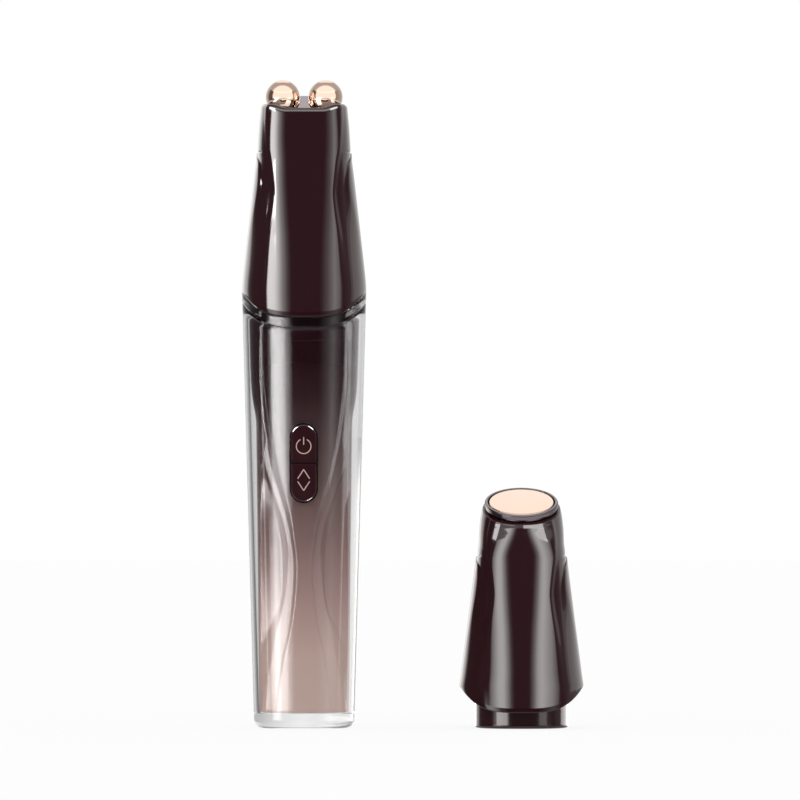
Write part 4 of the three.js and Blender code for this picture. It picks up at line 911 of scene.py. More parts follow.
def carved(mesh, tools, operation="DIFFERENCE"):
    """The mesh with the tools' shapes taken out of it, or joined to it."""
    body = new_object("carved", mesh)
    for tool in tools:
        change = body.modifiers.new("cut", "BOOLEAN")
        change.operation = operation
        change.solver = "EXACT"
        change.object = new_object("cutter", tool)
    bpy.context.view_layer.update()
    result = bpy.data.meshes.new_from_object(body.evaluated_get(bpy.context.evaluated_depsgraph_get()))
    for change in list(body.modifiers):
        bpy.data.objects.remove(change.object)
    bpy.data.objects.remove(body)
    return finish_mesh(result)


def lathe(outline, sides=96):
    """A turned shape round its own Z axis, from places of radius and height that run along its skin."""
    points, faces, rows = [], [], []
    for radius, height in outline:
        start = len(points)
        if radius < 1e-9:
            points.append((0, 0, height))
            rows.append([start] * sides)
            continue
        for i in range(sides):
            angle = 2 * math.pi * i / sides
            points.append((radius * math.cos(angle), radius * math.sin(angle), height))
        rows.append(list(range(start, start + sides)))
    for low, high in zip(rows, rows[1:] + rows[:1]):
        for i in range(sides):
            after = (i + 1) % sides
            face = list(dict.fromkeys((low[i], low[after], high[after], high[i])))
            if len(face) > 2:
                faces.append(face)
    mesh = bpy.data.meshes.new("turned")
    mesh.from_pydata(points, [], faces)
    return finish_mesh(mesh)


def arc(centre, radius, start, end, steps):
    """Places on an arc in the lathe's radius and height, between two angles in degrees."""
    places = []
    for angle in evenly(start, end, steps):
        turn = math.radians(angle)
        places.append((centre[0] + radius * math.cos(turn), centre[1] + radius * math.sin(turn)))
    return places


def moved(mesh, matrix):
    mesh.transform(matrix)
    return mesh


SKIRT_EDGE = 0.14 * MM
SEAM_FADE = 14 * MM


def seam_share(height):
    """How much of the seam's saddle a ring of a head still follows at a height over the seam."""
    return max(0, 1 - height / SEAM_FADE)


def skirt_rings(ring, inner_top, kink):
    """A head's skirt: down its inner wall, round its rim and up its outside to the kink."""
    edge = SKIRT_EDGE
    inner = evenly(inner_top, edge, 14)[1:]
    rings = [ring(height, seam_share(height), HEAD_WALL, fluted=False) for height in inner]
    rings += [ring(drop, 1, HEAD_WALL - pulled, fluted=False) for pulled, drop in reversed(rounded(edge, 3))]
    rings += [ring(drop, 1, pulled) for pulled, drop in rounded(edge, 3)]
    outer = evenly(edge, kink - 0.5 * MM, 44)[1:]
    return rings + [ring(height, seam_share(height)) for height in outer]


def roller_shell_mesh():
    def ring(height, share=0.0, inset=0.0, fluted=True):
        return head_ring(ROLLER_SIDE, ROLLER_DEPTH, ROLLER_KINK, height, share, inset, fluted)

    top_edge = 1.3 * MM
    crown = ring(ROLLER_TOP - top_edge)
    half_x, half_y = crown[0][0], max(y for _, y, _ in crown)
    ceiling = ring(ROLLER_CEILING, 0, HEAD_WALL, False)
    rings = [[(x * shrink, y * shrink, ROLLER_CEILING) for x, y, _ in ceiling] for shrink in (0.2, 0.6, 1.0)]
    rings += skirt_rings(ring, ROLLER_CEILING, ROLLER_KINK)
    rises = (-0.25, -0.1, 0.0, 0.1, 0.25, 0.45, 0.9, 1.6, 2.6, 3.9, 5.3, 6.8, 8.2, 9.6)
    rings += [ring(ROLLER_KINK + rise * MM) for rise in rises]

    def top(x):
        return ROLLER_TOP - TOP_DIP * (1 - smooth((abs(x) - TOP_DIP_HALF_WIDTH) / TOP_DIP_EASE))

    for pulled, drop in reversed(rounded(top_edge, 9)):
        shrink_x, shrink_y = 1 - pulled / half_x, 1 - pulled / half_y
        rings.append([(x * shrink_x, y * shrink_y, top(x) - drop) for x, y, _ in crown])
    last = rings[-1]
    rings += [[(x * shrink, y * shrink, top(x * shrink)) for x, y, _ in last]
              for shrink in (0.97, 0.93, 0.88, 0.82, 0.75, 0.67, 0.58, 0.48, 0.35, 0.2)]
    mesh = Wall(rings).mesh("roller_shell_skin")
    pockets = [ball_room(side) for side in (-1, 1)]
    slot = block_mesh(POST_WIDTH + 2 * SEAT_GAP, POST_DEPTH + 2 * SEAT_GAP, 40 * MM, 49 * MM)
    mesh = carved(mesh, [*pockets, slot])
    return moved(mesh, Matrix.Translation(ROLLER_PLACE))


BALL_RADIUS = 4.25 * MM
BALL_SPREAD = 5.35 * MM
BALL_HEIGHT = 157.6 * MM
RUN_GAP = 0.3 * MM
POST_WIDTH = 4.4 * MM
POST_DEPTH = 4.6 * MM


def ball_room(side, height=BALL_HEIGHT - SEAM_HEIGHT):
    """The round room that a ball turns in."""
    outline = arc((0, 0), BALL_RADIUS + RUN_GAP, -90, 90, 48)
    return moved(lathe(outline), Matrix.Translation((side * BALL_SPREAD, 0, height)))


def block_mesh(width, depth, foot, top, edge=0.0, steps=3):
    """An upright block whose edges are rounded."""
    shape = bmesh.new()
    bmesh.ops.create_cube(shape, size=1)
    for vert in shape.verts:
        vert.co = Vector((vert.co.x * width, vert.co.y * depth, mix(foot, top, vert.co.z + 0.5)))
    if edge:
        bmesh.ops.bevel(shape, geom=shape.edges, offset=edge, segments=steps, profile=0.5, affect="EDGES")
    mesh = bpy.data.meshes.new("block")
    shape.to_mesh(mesh)
    shape.free()
    return finish_mesh(mesh, 40)


def disc_shell_mesh():
    tangent, cosine = math.tan(DISC_TILT), math.cos(DISC_TILT)

    def plane(along_axis, y):
        return DISC_CENTRE + along_axis / cosine + tangent * y

    def ring(height, share=0.0, inset=0.0, fluted=True):
        return head_ring(DISC_SIDE, DISC_DEPTH, DISC_KINK, height, share, inset, fluted)

    def neck(share, inset=0.0, drop=0.0, fluted=True):
        """A ring between the kink and the slanted seat, as far up as its share."""
        level = mix(DISC_KINK, SEAT_LEVEL, share)
        squareness = mix(eased(HEAD_SQUARENESS, DISC_KINK, DISC_KINK), 2.2, smooth(share))
        points = head_ring(DISC_SIDE, DISC_DEPTH, DISC_KINK, level, 0, inset, fluted, squareness)
        return [(x, y, mix(DISC_KINK, plane(DISC_SEAT, y), share) - drop) for x, y, _ in points]

    def circle(radius, along_axis):
        turns = [math.radians(angle) for angle in head_angles(SEAT_LEVEL, DISC_KINK)]
        flat = mirrored([(radius * math.sin(turn), radius * math.cos(turn), along_axis) for turn in turns])
        return [tuple(DISC_FRAME @ Vector(point)) for point in flat]

    ceiling = [(x, y, plane(DISC_DECK, y)) for x, y, _ in neck(0.78, HEAD_WALL, 0, False)]
    rings = [circle(DISC_BORE, DISC_DECK), ceiling]
    inner = evenly(DISC_KINK - 1 * MM, 0.25 * MM, 14)
    rings += [ring(height, seam_share(height), HEAD_WALL, False) for height in inner[:-1]]
    # The inner wall comes down from the neck here, so only the lowest of the skirt's own rings are used.
    rings += skirt_rings(ring, 1.5 * MM, DISC_KINK)[10:]
    rings += [ring(DISC_KINK - 0.2 * MM)]
    rings += [neck(share) for share in (0, 0.02, 0.05, 0.1, 0.16, 0.24, 0.34, 0.46, 0.6, 0.74, 0.86, 0.94)]
    edge = 0.2 * MM
    rings += [neck(1, pulled, drop) for pulled, drop in reversed(rounded(edge, 4))]
    seat = circle(DISC_BORE + 0.1 * MM, DISC_SEAT)
    rim = rings[-1]
    rings += [[tuple(mix(a[axis], b[axis], share) for axis in range(3)) for a, b in zip(rim, seat)]
              for share in (0.1, 0.9, 1.0)]
    rings += [circle(DISC_BORE, DISC_SEAT - 0.1 * MM)]
    mesh = Wall(rings, hollow=True).mesh("disc_shell_skin")
    return moved(mesh, Matrix.Translation(DISC_PLACE))


def gloss_material(name, colour, ior, roughness, spread, drift=0.12, scale=120.0):
    """Lacquer or polished plastic: one colour that drifts a little under a glossy skin."""
    material, nodes, links, gloss = new_material(name)
    tone(nodes, links, gloss, colour, drift, scale)
    gloss.inputs["IOR"].default_value = ior
    polish(nodes, links, gloss, roughness, spread)
    return material


wine_lacquer = gloss_material("wine_lacquer", (0.024, 0.0045, 0.0075), 1.62, 0.05, 0.06)
add_piece("roller_shell_skin", roller_shell_mesh(), wine_lacquer, "roller_head", "lacquer", "roller_shell")
add_piece("disc_shell_skin", disc_shell_mesh(), wine_lacquer, "disc_head", "lacquer", "disc_shell")

# The plugs: deep glossy cups under both heads that push into the handle's socket.
# Each is held inside its shell by a flange, and has recesses for its contacts and its screw below.
PLUG_HALF_WIDTH = 11.7 * MM
PLUG_HALF_DEPTH = 10.456 * MM
PLUG_FOOT = -10.6 * MM
PLUG_FLANGE = 2.2 * MM
PLUG_WALL = 1.6 * MM
PLUG_FLOOR = 2.4 * MM
CONTACT_SPREAD = 5 * MM
CONTACT_OFFSET = -4 * MM
SCREW_OFFSET = -1 * MM


def plug_mesh(place):
    def ring(height, pulled=0.0, share=0.0, shrink=1.0):
        points = []
        for column in range(COLUMNS):
            x, y = section(PLUG_HALF_WIDTH - pulled, PLUG_HALF_DEPTH - pulled, 2 * math.pi * column / COLUMNS)
            points.append((x * shrink, y * shrink, height + share * seam_rise(x)))
        return points

    def flange(height, share, pulled):
        return [(x, y, z - SEAM_HEIGHT) for x, y, z in wand_ring(pulled, SEAM_HEIGHT + height, share)]

    edge = 0.7 * MM
    seat = HEAD_WALL + 0.4 * MM
    rings = [ring(PLUG_FOOT, edge, 0, shrink) for shrink in (0.3, 0.6, 0.85)]
    rings += [ring(PLUG_FOOT + drop, pulled) for pulled, drop in rounded(edge, 6)]
    rings += [ring(mix(PLUG_FOOT + edge, -0.1 * MM, i / 8), 0, i / 8) for i in range(1, 9)]
    rings += [flange(0.3 * MM, 1, seat), flange(0.6 * MM, 1, seat)]
    rings += [[(x * 0.985, y * 0.985, z) for x, y, z in flange(PLUG_FLANGE, 0, seat)]]
    rings += [ring(height, PLUG_WALL) for height in (PLUG_FLANGE, PLUG_FOOT + PLUG_FLOOR + 0.5 * MM)]
    rings += [ring(PLUG_FOOT + PLUG_FLOOR, PLUG_WALL, 0, shrink) for shrink in (0.97, 0.6, 0.3)]
    wells = []
    for x in (-CONTACT_SPREAD, CONTACT_SPREAD):
        wells += [(x, CONTACT_OFFSET, 1.8 * MM, 1.6 * MM), (x, CONTACT_OFFSET, 0.9 * MM, 5 * MM)]
    wells += [(0, SCREW_OFFSET, 1.9 * MM, 1.4 * MM), (0, SCREW_OFFSET, 1.1 * MM, 5 * MM)]
    cutters = []
    for x, y, radius, depth in wells:
        well = lathe([(0, -2 * MM), (radius, -2 * MM), (radius, depth), (0, depth)], 48)
        cutters.append(moved(well, Matrix.Translation((x, y, PLUG_FOOT))))
    mesh = carved(Wall(rings).mesh("plug"), cutters)
    return moved(mesh, Matrix.Translation(place))


plug_gloss = gloss_material("plug_gloss", (0.032, 0.009, 0.013), 1.55, 0.12, 0.08)
for head, place in (("roller", ROLLER_PLACE), ("disc", DISC_PLACE)):
    plug = head + "_plug"
    add_piece(plug + "_cup", plug_mesh(place), plug_gloss, head + "_head", "black_plastic", plug)

# The electric contacts: gold-plated spring pins that stand up through the floor of the handle's socket,
# and the gold pads in the foot of both plugs that they press on.
def metal_material(name, colour, roughness, spread, wave=0.0, **scales):
    material, nodes, links, metal = new_material(name)
    tone(nodes, links, metal, colour, 0.03)
    metal.inputs["Metallic"].default_value = 1
    polish(nodes, links, metal, roughness, spread, wave, **scales)
    return material


def standing(mesh, node):
    """A turned mesh, moved to stand where a node of the frame has its foot."""
    low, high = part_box(node)
    return moved(mesh, Matrix.Translation(((low.x + high.x) / 2, (low.y + high.y) / 2, low.z)))


def spring_pin_mesh():
    flange, barrel, plunger, height, edge = 1.4 * MM, 0.8 * MM, 0.52 * MM, 4.3 * MM, 0.08 * MM
    shoulder = height - 0.6 * MM
    rim = 0.5 * MM
    outline = [(0, 0), (flange - edge, 0), (flange, edge), (flange, rim - edge), (flange - edge, rim)]
    outline += [(barrel, rim), (barrel, shoulder - edge), (barrel - edge, shoulder), (plunger, shoulder)]
    outline += arc((0, height - plunger), plunger, 0, 90, 8)
    return lathe(outline, 48)


def contact_pad_mesh():
    pad, thickness, stem, height, edge, groove = 1.5 * MM, 0.6 * MM, 0.6 * MM, 2.2 * MM, 0.12 * MM, 0.06 * MM
    outline = [(0, 0), (0.85 * MM, 0), (0.92 * MM, groove), (1.05 * MM, groove), (1.12 * MM, 0)]
    outline += [(pad - edge, 0), (pad, edge), (pad, thickness), (stem, thickness), (stem, height)]
    outline += [(0, height)]
    return lathe(outline, 48)


contact_gold = metal_material("contact_gold", (0.95, 0.72, 0.38), 0.14, 0.16)
for side in ("left", "right"):
    pin = "contact_pin_" + side
    add_piece(pin + "_sprung", standing(spring_pin_mesh(), pin), contact_gold, "handle", "gold", pin)
    for head in ("roller", "disc"):
        pad = head + "_contact_" + side
        add_piece(pad + "_pad", standing(contact_pad_mesh(), pad), contact_gold, head + "_head", "gold", pad)

# The head screws: small steel pan heads with a cross recess, sunk in the foot of each plug.
# Each pulls its plug up against the head's spine.
def screw_mesh():
    """The screw as it is seen from below: the head's recess first, then the shank."""
    head, head_height, shank, length, edge = 1.6 * MM, 0.9 * MM, 0.8 * MM, 5.9 * MM, 0.35 * MM
    outline = [(0, 0), (head - edge, 0), *arc((head - edge, edge), edge, -75, 0, 5), (head, head_height)]
    outline += [(shank, head_height), (shank, length - 0.5 * MM), (shank - 0.4 * MM, length), (0, length)]
    cutters = []
    for quarter in range(2):
        blade = block_mesh(1.9 * MM, 0.42 * MM, -0.5 * MM, 0.55 * MM)
        cutters.append(moved(blade, Matrix.Rotation(math.radians(45 + 90 * quarter), 4, "Z")))
    return carved(lathe(outline, 48), cutters)


screw_steel = metal_material("screw_steel", (0.55, 0.54, 0.53), 0.24, 0.2)
for head in ("roller", "disc"):
    screw = head + "_screw"
    add_piece(screw + "_cross", standing(screw_mesh(), screw), screw_steel, head + "_head", "steel", screw)

# The charging port: a drawn steel shell with a rolled lip, let into the rear of the sleeve's foot.
# A black tongue with two rows of gold contacts stands in it.
PORT_MOUTH = 11.324 * MM
PORT_DEPTH = 7.2 * MM
PORT_WALL = 0.4 * MM
TONGUE_WIDTH = 6.2 * MM
TONGUE_HALF = 0.3 * MM


def port_shell_mesh():
    radius, half, lip = PORT_HALF_HEIGHT, PORT_HALF_WIDTH - PORT_HALF_HEIGHT, 0.15 * MM

    def ring(pulled, y):
        points = []
        for centre, start in ((half, -90), (-half, 90)):
            for x, z in arc((centre, PORT_CENTRE), radius - pulled, start, start + 180, 24):
                points.append((x, y, z))
        return points

    back = PORT_MOUTH - PORT_DEPTH
    rings = [ring(radius - 0.2 * MM, back), ring(0.12 * MM, back), ring(0, back + 0.12 * MM)]
    rings += [ring(pulled, PORT_MOUTH - drop) for pulled, drop in reversed(rounded(lip, 4))]
    rings += [ring(PORT_WALL - pulled, PORT_MOUTH - drop) for pulled, drop in rounded(lip, 4)]
    rings += [ring(PORT_WALL, back + PORT_WALL), ring(radius - 0.2 * MM, back + PORT_WALL)]
    return Wall(rings).mesh("charge_port_shell")


def tongue_mesh():
    tongue = block_mesh(TONGUE_WIDTH, PORT_DEPTH - 1.2 * MM, -TONGUE_HALF, TONGUE_HALF, 0.1 * MM)
    return moved(tongue, Matrix.Translation((0, PORT_MOUTH - PORT_DEPTH / 2 - 0.2 * MM, PORT_CENTRE)))


def port_contacts_mesh():
    """Two rows of small gold fingers, one on each face of the tongue."""
    fingers, pitch, thickness = 8, 0.66 * MM, 0.04 * MM
    whole = bmesh.new()
    for face in (-1, 1):
        for i in range(fingers):
            finger = block_mesh(0.32 * MM, PORT_DEPTH - 2.4 * MM, -thickness, thickness, 0.015 * MM, 1)
            x = (i - (fingers - 1) / 2) * pitch
            place = (x, PORT_MOUTH - PORT_DEPTH / 2 - 0.2 * MM, PORT_CENTRE + face * TONGUE_HALF)
            whole.from_mesh(moved(finger, Matrix.Translation(place)))
    mesh = bpy.data.meshes.new("port_contacts")
    whole.to_mesh(mesh)
    whole.free()
    return finish_mesh(mesh)


def plastic_material(name, colour, roughness, grain=0.004, scale=3000.0):
    """Moulded plastic or rubber with the fine grain of its mould."""
    material, nodes, links, plastic = new_material(name)
    tone(nodes, links, plastic, colour, 0.1, 400.0)
    plastic.inputs["IOR"].default_value = 1.48
    polish(nodes, links, plastic, roughness, 0.2, grain * MM, wave_scale=scale)
    return material


port_steel = metal_material("port_steel", (0.6, 0.59, 0.58), 0.2, 0.15)
port_black = plastic_material("port_black", (0.02, 0.02, 0.021), 0.4)
add_piece("charge_port_shell", port_shell_mesh(), port_steel, "handle", "steel", "charge_port")
add_piece("charge_port_tongue", tongue_mesh(), port_black, "handle", "black_plastic")
add_piece("charge_port_contacts", port_contacts_mesh(), contact_gold, "handle", "gold")

# The rollers: two mirror-polished rose gold balls on stainless axles that lean outward from a post.
# Each ball turns on a black bush; the post stands in the middle of the head and is screwed in below.
AXLE_TILT = math.radians(60)
BUSH_OUTER = 1.5 * MM
BUSH_BORE = 0.95 * MM
AXLE_RADIUS = 0.8 * MM
COLLAR_RADIUS = 1.85 * MM


def ball_mesh():
    bore, bore_top = 1.65 * MM, 1.0 * MM
    mouth = math.degrees(math.asin(bore / BALL_RADIUS)) - 90
    edge = 0.12 * MM
    outline = [(0, bore_top), (bore, bore_top)]
    outline += [(bore, -BALL_RADIUS * math.cos(math.radians(90 + mouth)) + edge)]
    outline += arc((0, 0), BALL_RADIUS, mouth + 1.6, 90, 72)
    return lathe(outline, 128)


def bush_mesh():
    foot, top, edge = -3.8 * MM, -0.2 * MM, 0.1 * MM
    outline = [(BUSH_BORE, foot + edge), (BUSH_BORE + edge, foot), (BUSH_OUTER - edge, foot),
               (BUSH_OUTER, foot + edge), (BUSH_OUTER, top - edge), (BUSH_OUTER - edge, top),
               (BUSH_BORE + edge, top), (BUSH_BORE, top - edge)]
    return lathe(outline, 64)


def axle_mesh():
    """The axle with its head inside the ball, and the thrust collar that shows between ball and post."""
    foot, collar_foot, collar_top, head = -5.25 * MM, -4.5 * MM, -4.06 * MM, 0.1 * MM
    collar, head_radius, edge = COLLAR_RADIUS, 1.2 * MM, 0.08 * MM
    outline = [(0, foot), (AXLE_RADIUS - edge, foot), (AXLE_RADIUS, foot + edge), (AXLE_RADIUS, collar_foot),
               (collar - edge, collar_foot), (collar, collar_foot + edge), (collar, collar_top - edge),
               (collar - edge, collar_top), (AXLE_RADIUS, collar_top), (AXLE_RADIUS, head)]
    outline += [(head_radius, head), (head_radius, 0.5 * MM), (head_radius - 0.2 * MM, 0.7 * MM)]
    outline += [(0, 0.7 * MM)]
    return lathe(outline, 64)


def axle_frame(side):
    turn = Matrix.Rotation(side * AXLE_TILT, 4, "Y")
    return Matrix.Translation((side * BALL_SPREAD, 0, BALL_HEIGHT)) @ turn


def post_mesh():
    """The post: a narrow column on a square base, hollowed for both balls, their axles and collars."""
    foot, top, base_top = 149.5 * MM, 157.9 * MM, 151.1 * MM
    base_width, column_share, room = 9 * MM, 0.56, 0.05 * MM
    column = block_mesh(POST_WIDTH, POST_DEPTH, foot, top, 0.45 * MM)
    for vertex in column.vertices:
        if vertex.co.z > base_top:
            vertex.co.y *= column_share
    post = carved(column, [block_mesh(base_width, base_width, foot, base_top, 0.25 * MM)], "UNION")
    cutters = []
    for side in (-1, 1):
        cutters.append(ball_room(side, BALL_HEIGHT))
        for radius, depth in ((BUSH_BORE, -5.4 * MM), (COLLAR_RADIUS + room, -4.55 * MM)):
            seat = lathe([(0, depth), (radius, depth), (radius, 0), (0, 0)], 48)
            cutters.append(moved(seat, axle_frame(side)))
    return carved(post, cutters)


rose_gold = metal_material("rose_gold_mirror", (0.98, 0.72, 0.58), 0.02, 0.03)
axle_gold = metal_material("axle_gold", (0.95, 0.68, 0.48), 0.1, 0.12)
post_metal = metal_material("mauve_metal", (0.4, 0.35, 0.37), 0.2, 0.15)
bush_plastic = plastic_material("bush_plastic", (0.02, 0.018, 0.018), 0.35)
for label, side in (("left", -1), ("right", 1)):
    turned = axle_frame(side)
    ball = moved(ball_mesh(), turned)
    add_piece("roller_ball_" + label, ball, rose_gold, "ball_" + label, "rose_gold", "ball_" + label)
    bush = moved(bush_mesh(), turned)
    add_piece("roller_bush_" + label, bush, bush_plastic, "ball_" + label, "black_plastic", "bush_" + label)
    axle = moved(axle_mesh(), turned)
    add_piece("roller_axle_" + label, axle, axle_gold, "roller_head", "gold", "axle_" + label)
add_piece("roller_post", post_mesh(), post_metal, "roller_head", "mauve_metal", "axle_post")

# The treatment disc: a slightly domed, polished rose gold electrode in a mauve metal bezel.
# It is pressed into the slanted top of its head on a rubber seal; the bezel clips over the shell's seat.
DISC_RADIUS = 8.1 * MM
BEZEL_RADIUS = 9.2 * MM


def electrode_mesh():
    crown, plate, skirt_foot = 0.35 * MM, -0.6 * MM, -3.5 * MM
    skirt, skirt_inner, edge = 6.9 * MM, 6.1 * MM, 0.28 * MM
    outline = [(0, plate), (skirt_inner, plate), (skirt_inner, skirt_foot), (skirt, skirt_foot),
               (skirt, plate), (DISC_RADIUS - 0.1 * MM, plate), (DISC_RADIUS, plate + 0.1 * MM)]
    outline += arc((DISC_RADIUS - edge, -edge + 0.06 * MM), edge, 0, 80, 6)
    rim = outline[-1]
    outline += [(rim[0] * (1 - i / 12), mix(rim[1], crown, 1 - (1 - i / 12) ** 2)) for i in range(1, 13)]
    return lathe(outline, 128)


def bezel_mesh():
    foot, lip, inner = -1.42 * MM, 0.1 * MM, DISC_RADIUS + SEAT_GAP
    edge = 0.4 * MM
    outline = [(inner, foot), (BEZEL_RADIUS - 0.1 * MM, foot), (BEZEL_RADIUS, foot + 0.1 * MM)]
    outline += arc((BEZEL_RADIUS - edge, lip - edge), edge, 0, 90, 6)
    outline += arc((inner + 0.2 * MM, lip - 0.2 * MM), 0.2 * MM, 90, 180, 4)
    return lathe(outline, 128)


disc_frame = Matrix.Translation(DISC_PLACE) @ DISC_FRAME
bezel_metal = metal_material("bezel_metal", (0.26, 0.225, 0.235), 0.14, 0.1)
electrode, bezel = (moved(mesh, disc_frame) for mesh in (electrode_mesh(), bezel_mesh()))
add_piece("disc_electrode_face", electrode, rose_gold, "disc_head", "rose_gold", "disc_electrode")
add_piece("disc_bezel_ring", bezel, bezel_metal, "disc_head", "mauve_metal", "disc_bezel")

# The keys: two halves of a burgundy pill, printed through with a ring for power and a pair of chevrons.
# Each half moves by itself in the window of the sleeve and works a small switch behind it.
KEY_PROUD = 0.3 * MM
KEY_SPLIT_GAP = 0.07 * MM
KEY_CORNER = 0.3 * MM
KEY_BEVEL = 0.36 * MM
KEY_BEVEL_DROP = 0.3 * MM
KEY_LIP = 0.9 * MM
KEY_FLANGE_BACK = -8.4 * MM
KEY_FLANGE_FRONT = -9.2 * MM
KEY_DISH = 0.1 * MM
POWER_ICON = 70.4 * MM
LEVEL_ICON = 62.0 * MM
STROKE = 0.145 * MM


def half_pill(side):
    """The outline of one key, as places with the direction that faces out of it."""
    radius, reach = KEY_HALF_WIDTH, KEY_HALF_HEIGHT - KEY_HALF_WIDTH
    low = KEY_SPLIT_GAP + KEY_CORNER
    corner_x = KEY_HALF_WIDTH - KEY_CORNER
    turns = [((corner_x, low), KEY_CORNER, -90, 0, 7), ((0, reach), radius, 0, 180, 40),
             ((-corner_x, low), KEY_CORNER, 180, 270, 7)]
    places = []
    for (x, z), turn_radius, start, end, steps in turns:
        for angle in evenly(start, end, steps):
            out_x, out_z = math.cos(math.radians(angle)), math.sin(math.radians(angle))
            places.append((x + turn_radius * out_x, z + turn_radius * out_z, out_x, out_z))
    dense = []
    for here, after in zip(places, places[1:] + places[:1]):
        count = max(1, round(math.dist(here[:2], after[:2]) / (0.5 * MM)))
        dense += [tuple(mix(a, b, i / count) for a, b in zip(here, after)) for i in range(count)]
    return [(x, KEY_CENTRE + side * z, out_x, side * out_z) for x, z, out_x, out_z in dense]


def key_face(x, z, side):
    """The depth of a key's face, a little proud of the sleeve and slightly dished."""
    middle = KEY_CENTRE + side * KEY_HALF_HEIGHT * 0.5
    off = min(1, math.hypot(x / KEY_HALF_WIDTH, (z - middle) / (KEY_HALF_HEIGHT * 0.5)))
    return wand_surface(0, -1)(x, z) - KEY_PROUD + KEY_DISH * (1 - off ** 2) ** 2


def key_mesh(name, side):
    outline = half_pill(side)
    centre = KEY_CENTRE + side * KEY_HALF_HEIGHT * 0.5

    def ring(pulled, depth=None, sunk=0.0, shrink=1.0):
        points = []
        for x, z, out_x, out_z in outline:
            along_split = smooth(-side * out_z * 3 - 2)
            here_pull = pulled * mix(1, 0.2, along_split) if pulled > 0 else pulled
            here_x, here_z = x - here_pull * out_x, z - here_pull * out_z
            if side * (here_z - KEY_CENTRE) < KEY_SPLIT_GAP:
                here_z = KEY_CENTRE + side * KEY_SPLIT_GAP
            here_x, here_z = here_x * shrink, mix(centre, here_z, shrink)
            y = depth if depth is not None else key_face(here_x, here_z, side) + sunk
            points.append((here_x, y, here_z))
        return points

    rings = [ring(-KEY_LIP, KEY_FLANGE_BACK, 0, shrink) for shrink in (0.3, 0.7, 0.98)]
    rings += [ring(-KEY_LIP, KEY_FLANGE_BACK - 0.1 * MM), ring(-KEY_LIP, KEY_FLANGE_FRONT)]
    rings += [ring(0, KEY_FLANGE_FRONT), ring(0, KEY_FLANGE_FRONT - 0.8 * MM)]
    bevel = [(0, 0.2), (0.004, 0.08), (0.03, 0.03), (0.1, 0), (0.9, 0), (0.97, 0.006), (1.06, 0.012),
             (1.15, 0.012)]
    rings += [ring(KEY_BEVEL * share, None, KEY_BEVEL_DROP * (1 - min(share, 1)) + rise * MM)
              for share, rise in bevel]
    shrinks = (0.95, 0.88, 0.8, 0.7, 0.58, 0.44, 0.28, 0.12)
    rings += [ring(KEY_BEVEL * 1.2, None, 0, shrink) for shrink in shrinks]
    return Wall(rings).mesh(name)


def stroke_strip(path, half_stroke, side):
    """Vertices and faces of a raised, rounded line that follows a path over a key's face."""
    across = [(-1, 0.05), (-0.75, -0.02), (-0.3, -0.045), (0.3, -0.045), (0.75, -0.02), (1, 0.05), (0, 0.09)]
    points, faces = [], []
    ends = [math.dist(path[0], place) for place in path], [math.dist(path[-1], place) for place in path]
    for i, (x, z) in enumerate(path):
        before, after = path[max(0, i - 1)], path[min(len(path) - 1, i + 1)]
        along_x, along_z = after[0] - before[0], after[1] - before[1]
        length = math.hypot(along_x, along_z)
        near = min(ends[0][i], ends[1][i]) / half_stroke
        width = half_stroke * math.sqrt(max(0.02, 1 - max(0, 1 - near) ** 2))
        for share, height in across:
            here_x = x - along_z / length * width * share
            here_z = z + along_x / length * width * share
            points.append((here_x, key_face(here_x, here_z, side) + height * MM, here_z))
    count = len(across)
    for i in range(len(path) - 1):
        for j in range(count):
            after = (j + 1) % count
            faces.append((i * count + j, i * count + after, (i + 1) * count + after, (i + 1) * count + j))
    faces += [tuple(range(count)), tuple(range(len(points) - count, len(points)))]
    return points, faces


def icon_mesh(name, paths, side):
    points, faces = [], []
    for path in paths:
        more, more_faces = stroke_strip(path, STROKE, side)
        faces += [tuple(i + len(points) for i in face) for face in more_faces]
        points += more
    mesh = bpy.data.meshes.new(name)
    mesh.from_pydata(points, [], faces)
    return finish_mesh(mesh, 50)


def resampled(corners, step=0.06 * MM):
    """A path through corners as even small steps, each corner slightly rounded."""
    path = []
    for (x0, z0), (x1, z1) in zip(corners, corners[1:]):
        count = max(2, round(math.dist((x0, z0), (x1, z1)) / step))
        path += [(mix(x0, x1, i / count), mix(z0, z1, i / count)) for i in range(count)]
    path.append(corners[-1])
    for _ in range(3):
        middle = [tuple((a + 2 * b + c) / 4 for a, b, c in zip(*three))
                  for three in zip(path, path[1:], path[2:])]
        path = [path[0], *middle, path[-1]]
    return path


def power_paths():
    radius, gap = 1.82 * MM, 0.42
    turns = evenly(math.pi / 2 + gap, math.pi * 2.5 - gap, 72)
    loop = [(radius * math.cos(turn), POWER_ICON + radius * math.sin(turn)) for turn in turns]
    middle = POWER_ICON + radius - 0.5 * MM
    return [loop, resampled([(0, middle - 1.0 * MM), (0, middle + 1.0 * MM)])]


def level_paths():
    half, rise, gap = 1.5 * MM, 2.3 * MM, 0.32 * MM
    return [resampled([(-half, LEVEL_ICON + turn * gap), (0, LEVEL_ICON + turn * (gap + rise)),
                       (half, LEVEL_ICON + turn * gap)]) for turn in (1, -1)]


key_burgundy = gloss_material("key_burgundy", (0.03, 0.0075, 0.011), 1.5, 0.09, 0.1)
icon_inlay = gloss_material("icon_inlay", (0.66, 0.43, 0.37), 1.5, 0.3, 0.2, 0.08, 300.0)
for label, side, paths in (("power", 1, power_paths()), ("level", -1, level_paths())):
    key, icon = label + "_key", label + "_key_lens"
    add_piece(key + "_cap", key_mesh(key + "_cap", side), key_burgundy, key, "lacquer", key)
    add_piece(label + "_icon", icon_mesh(label + "_icon", paths, side), icon_inlay, key, "pale_icon", icon)

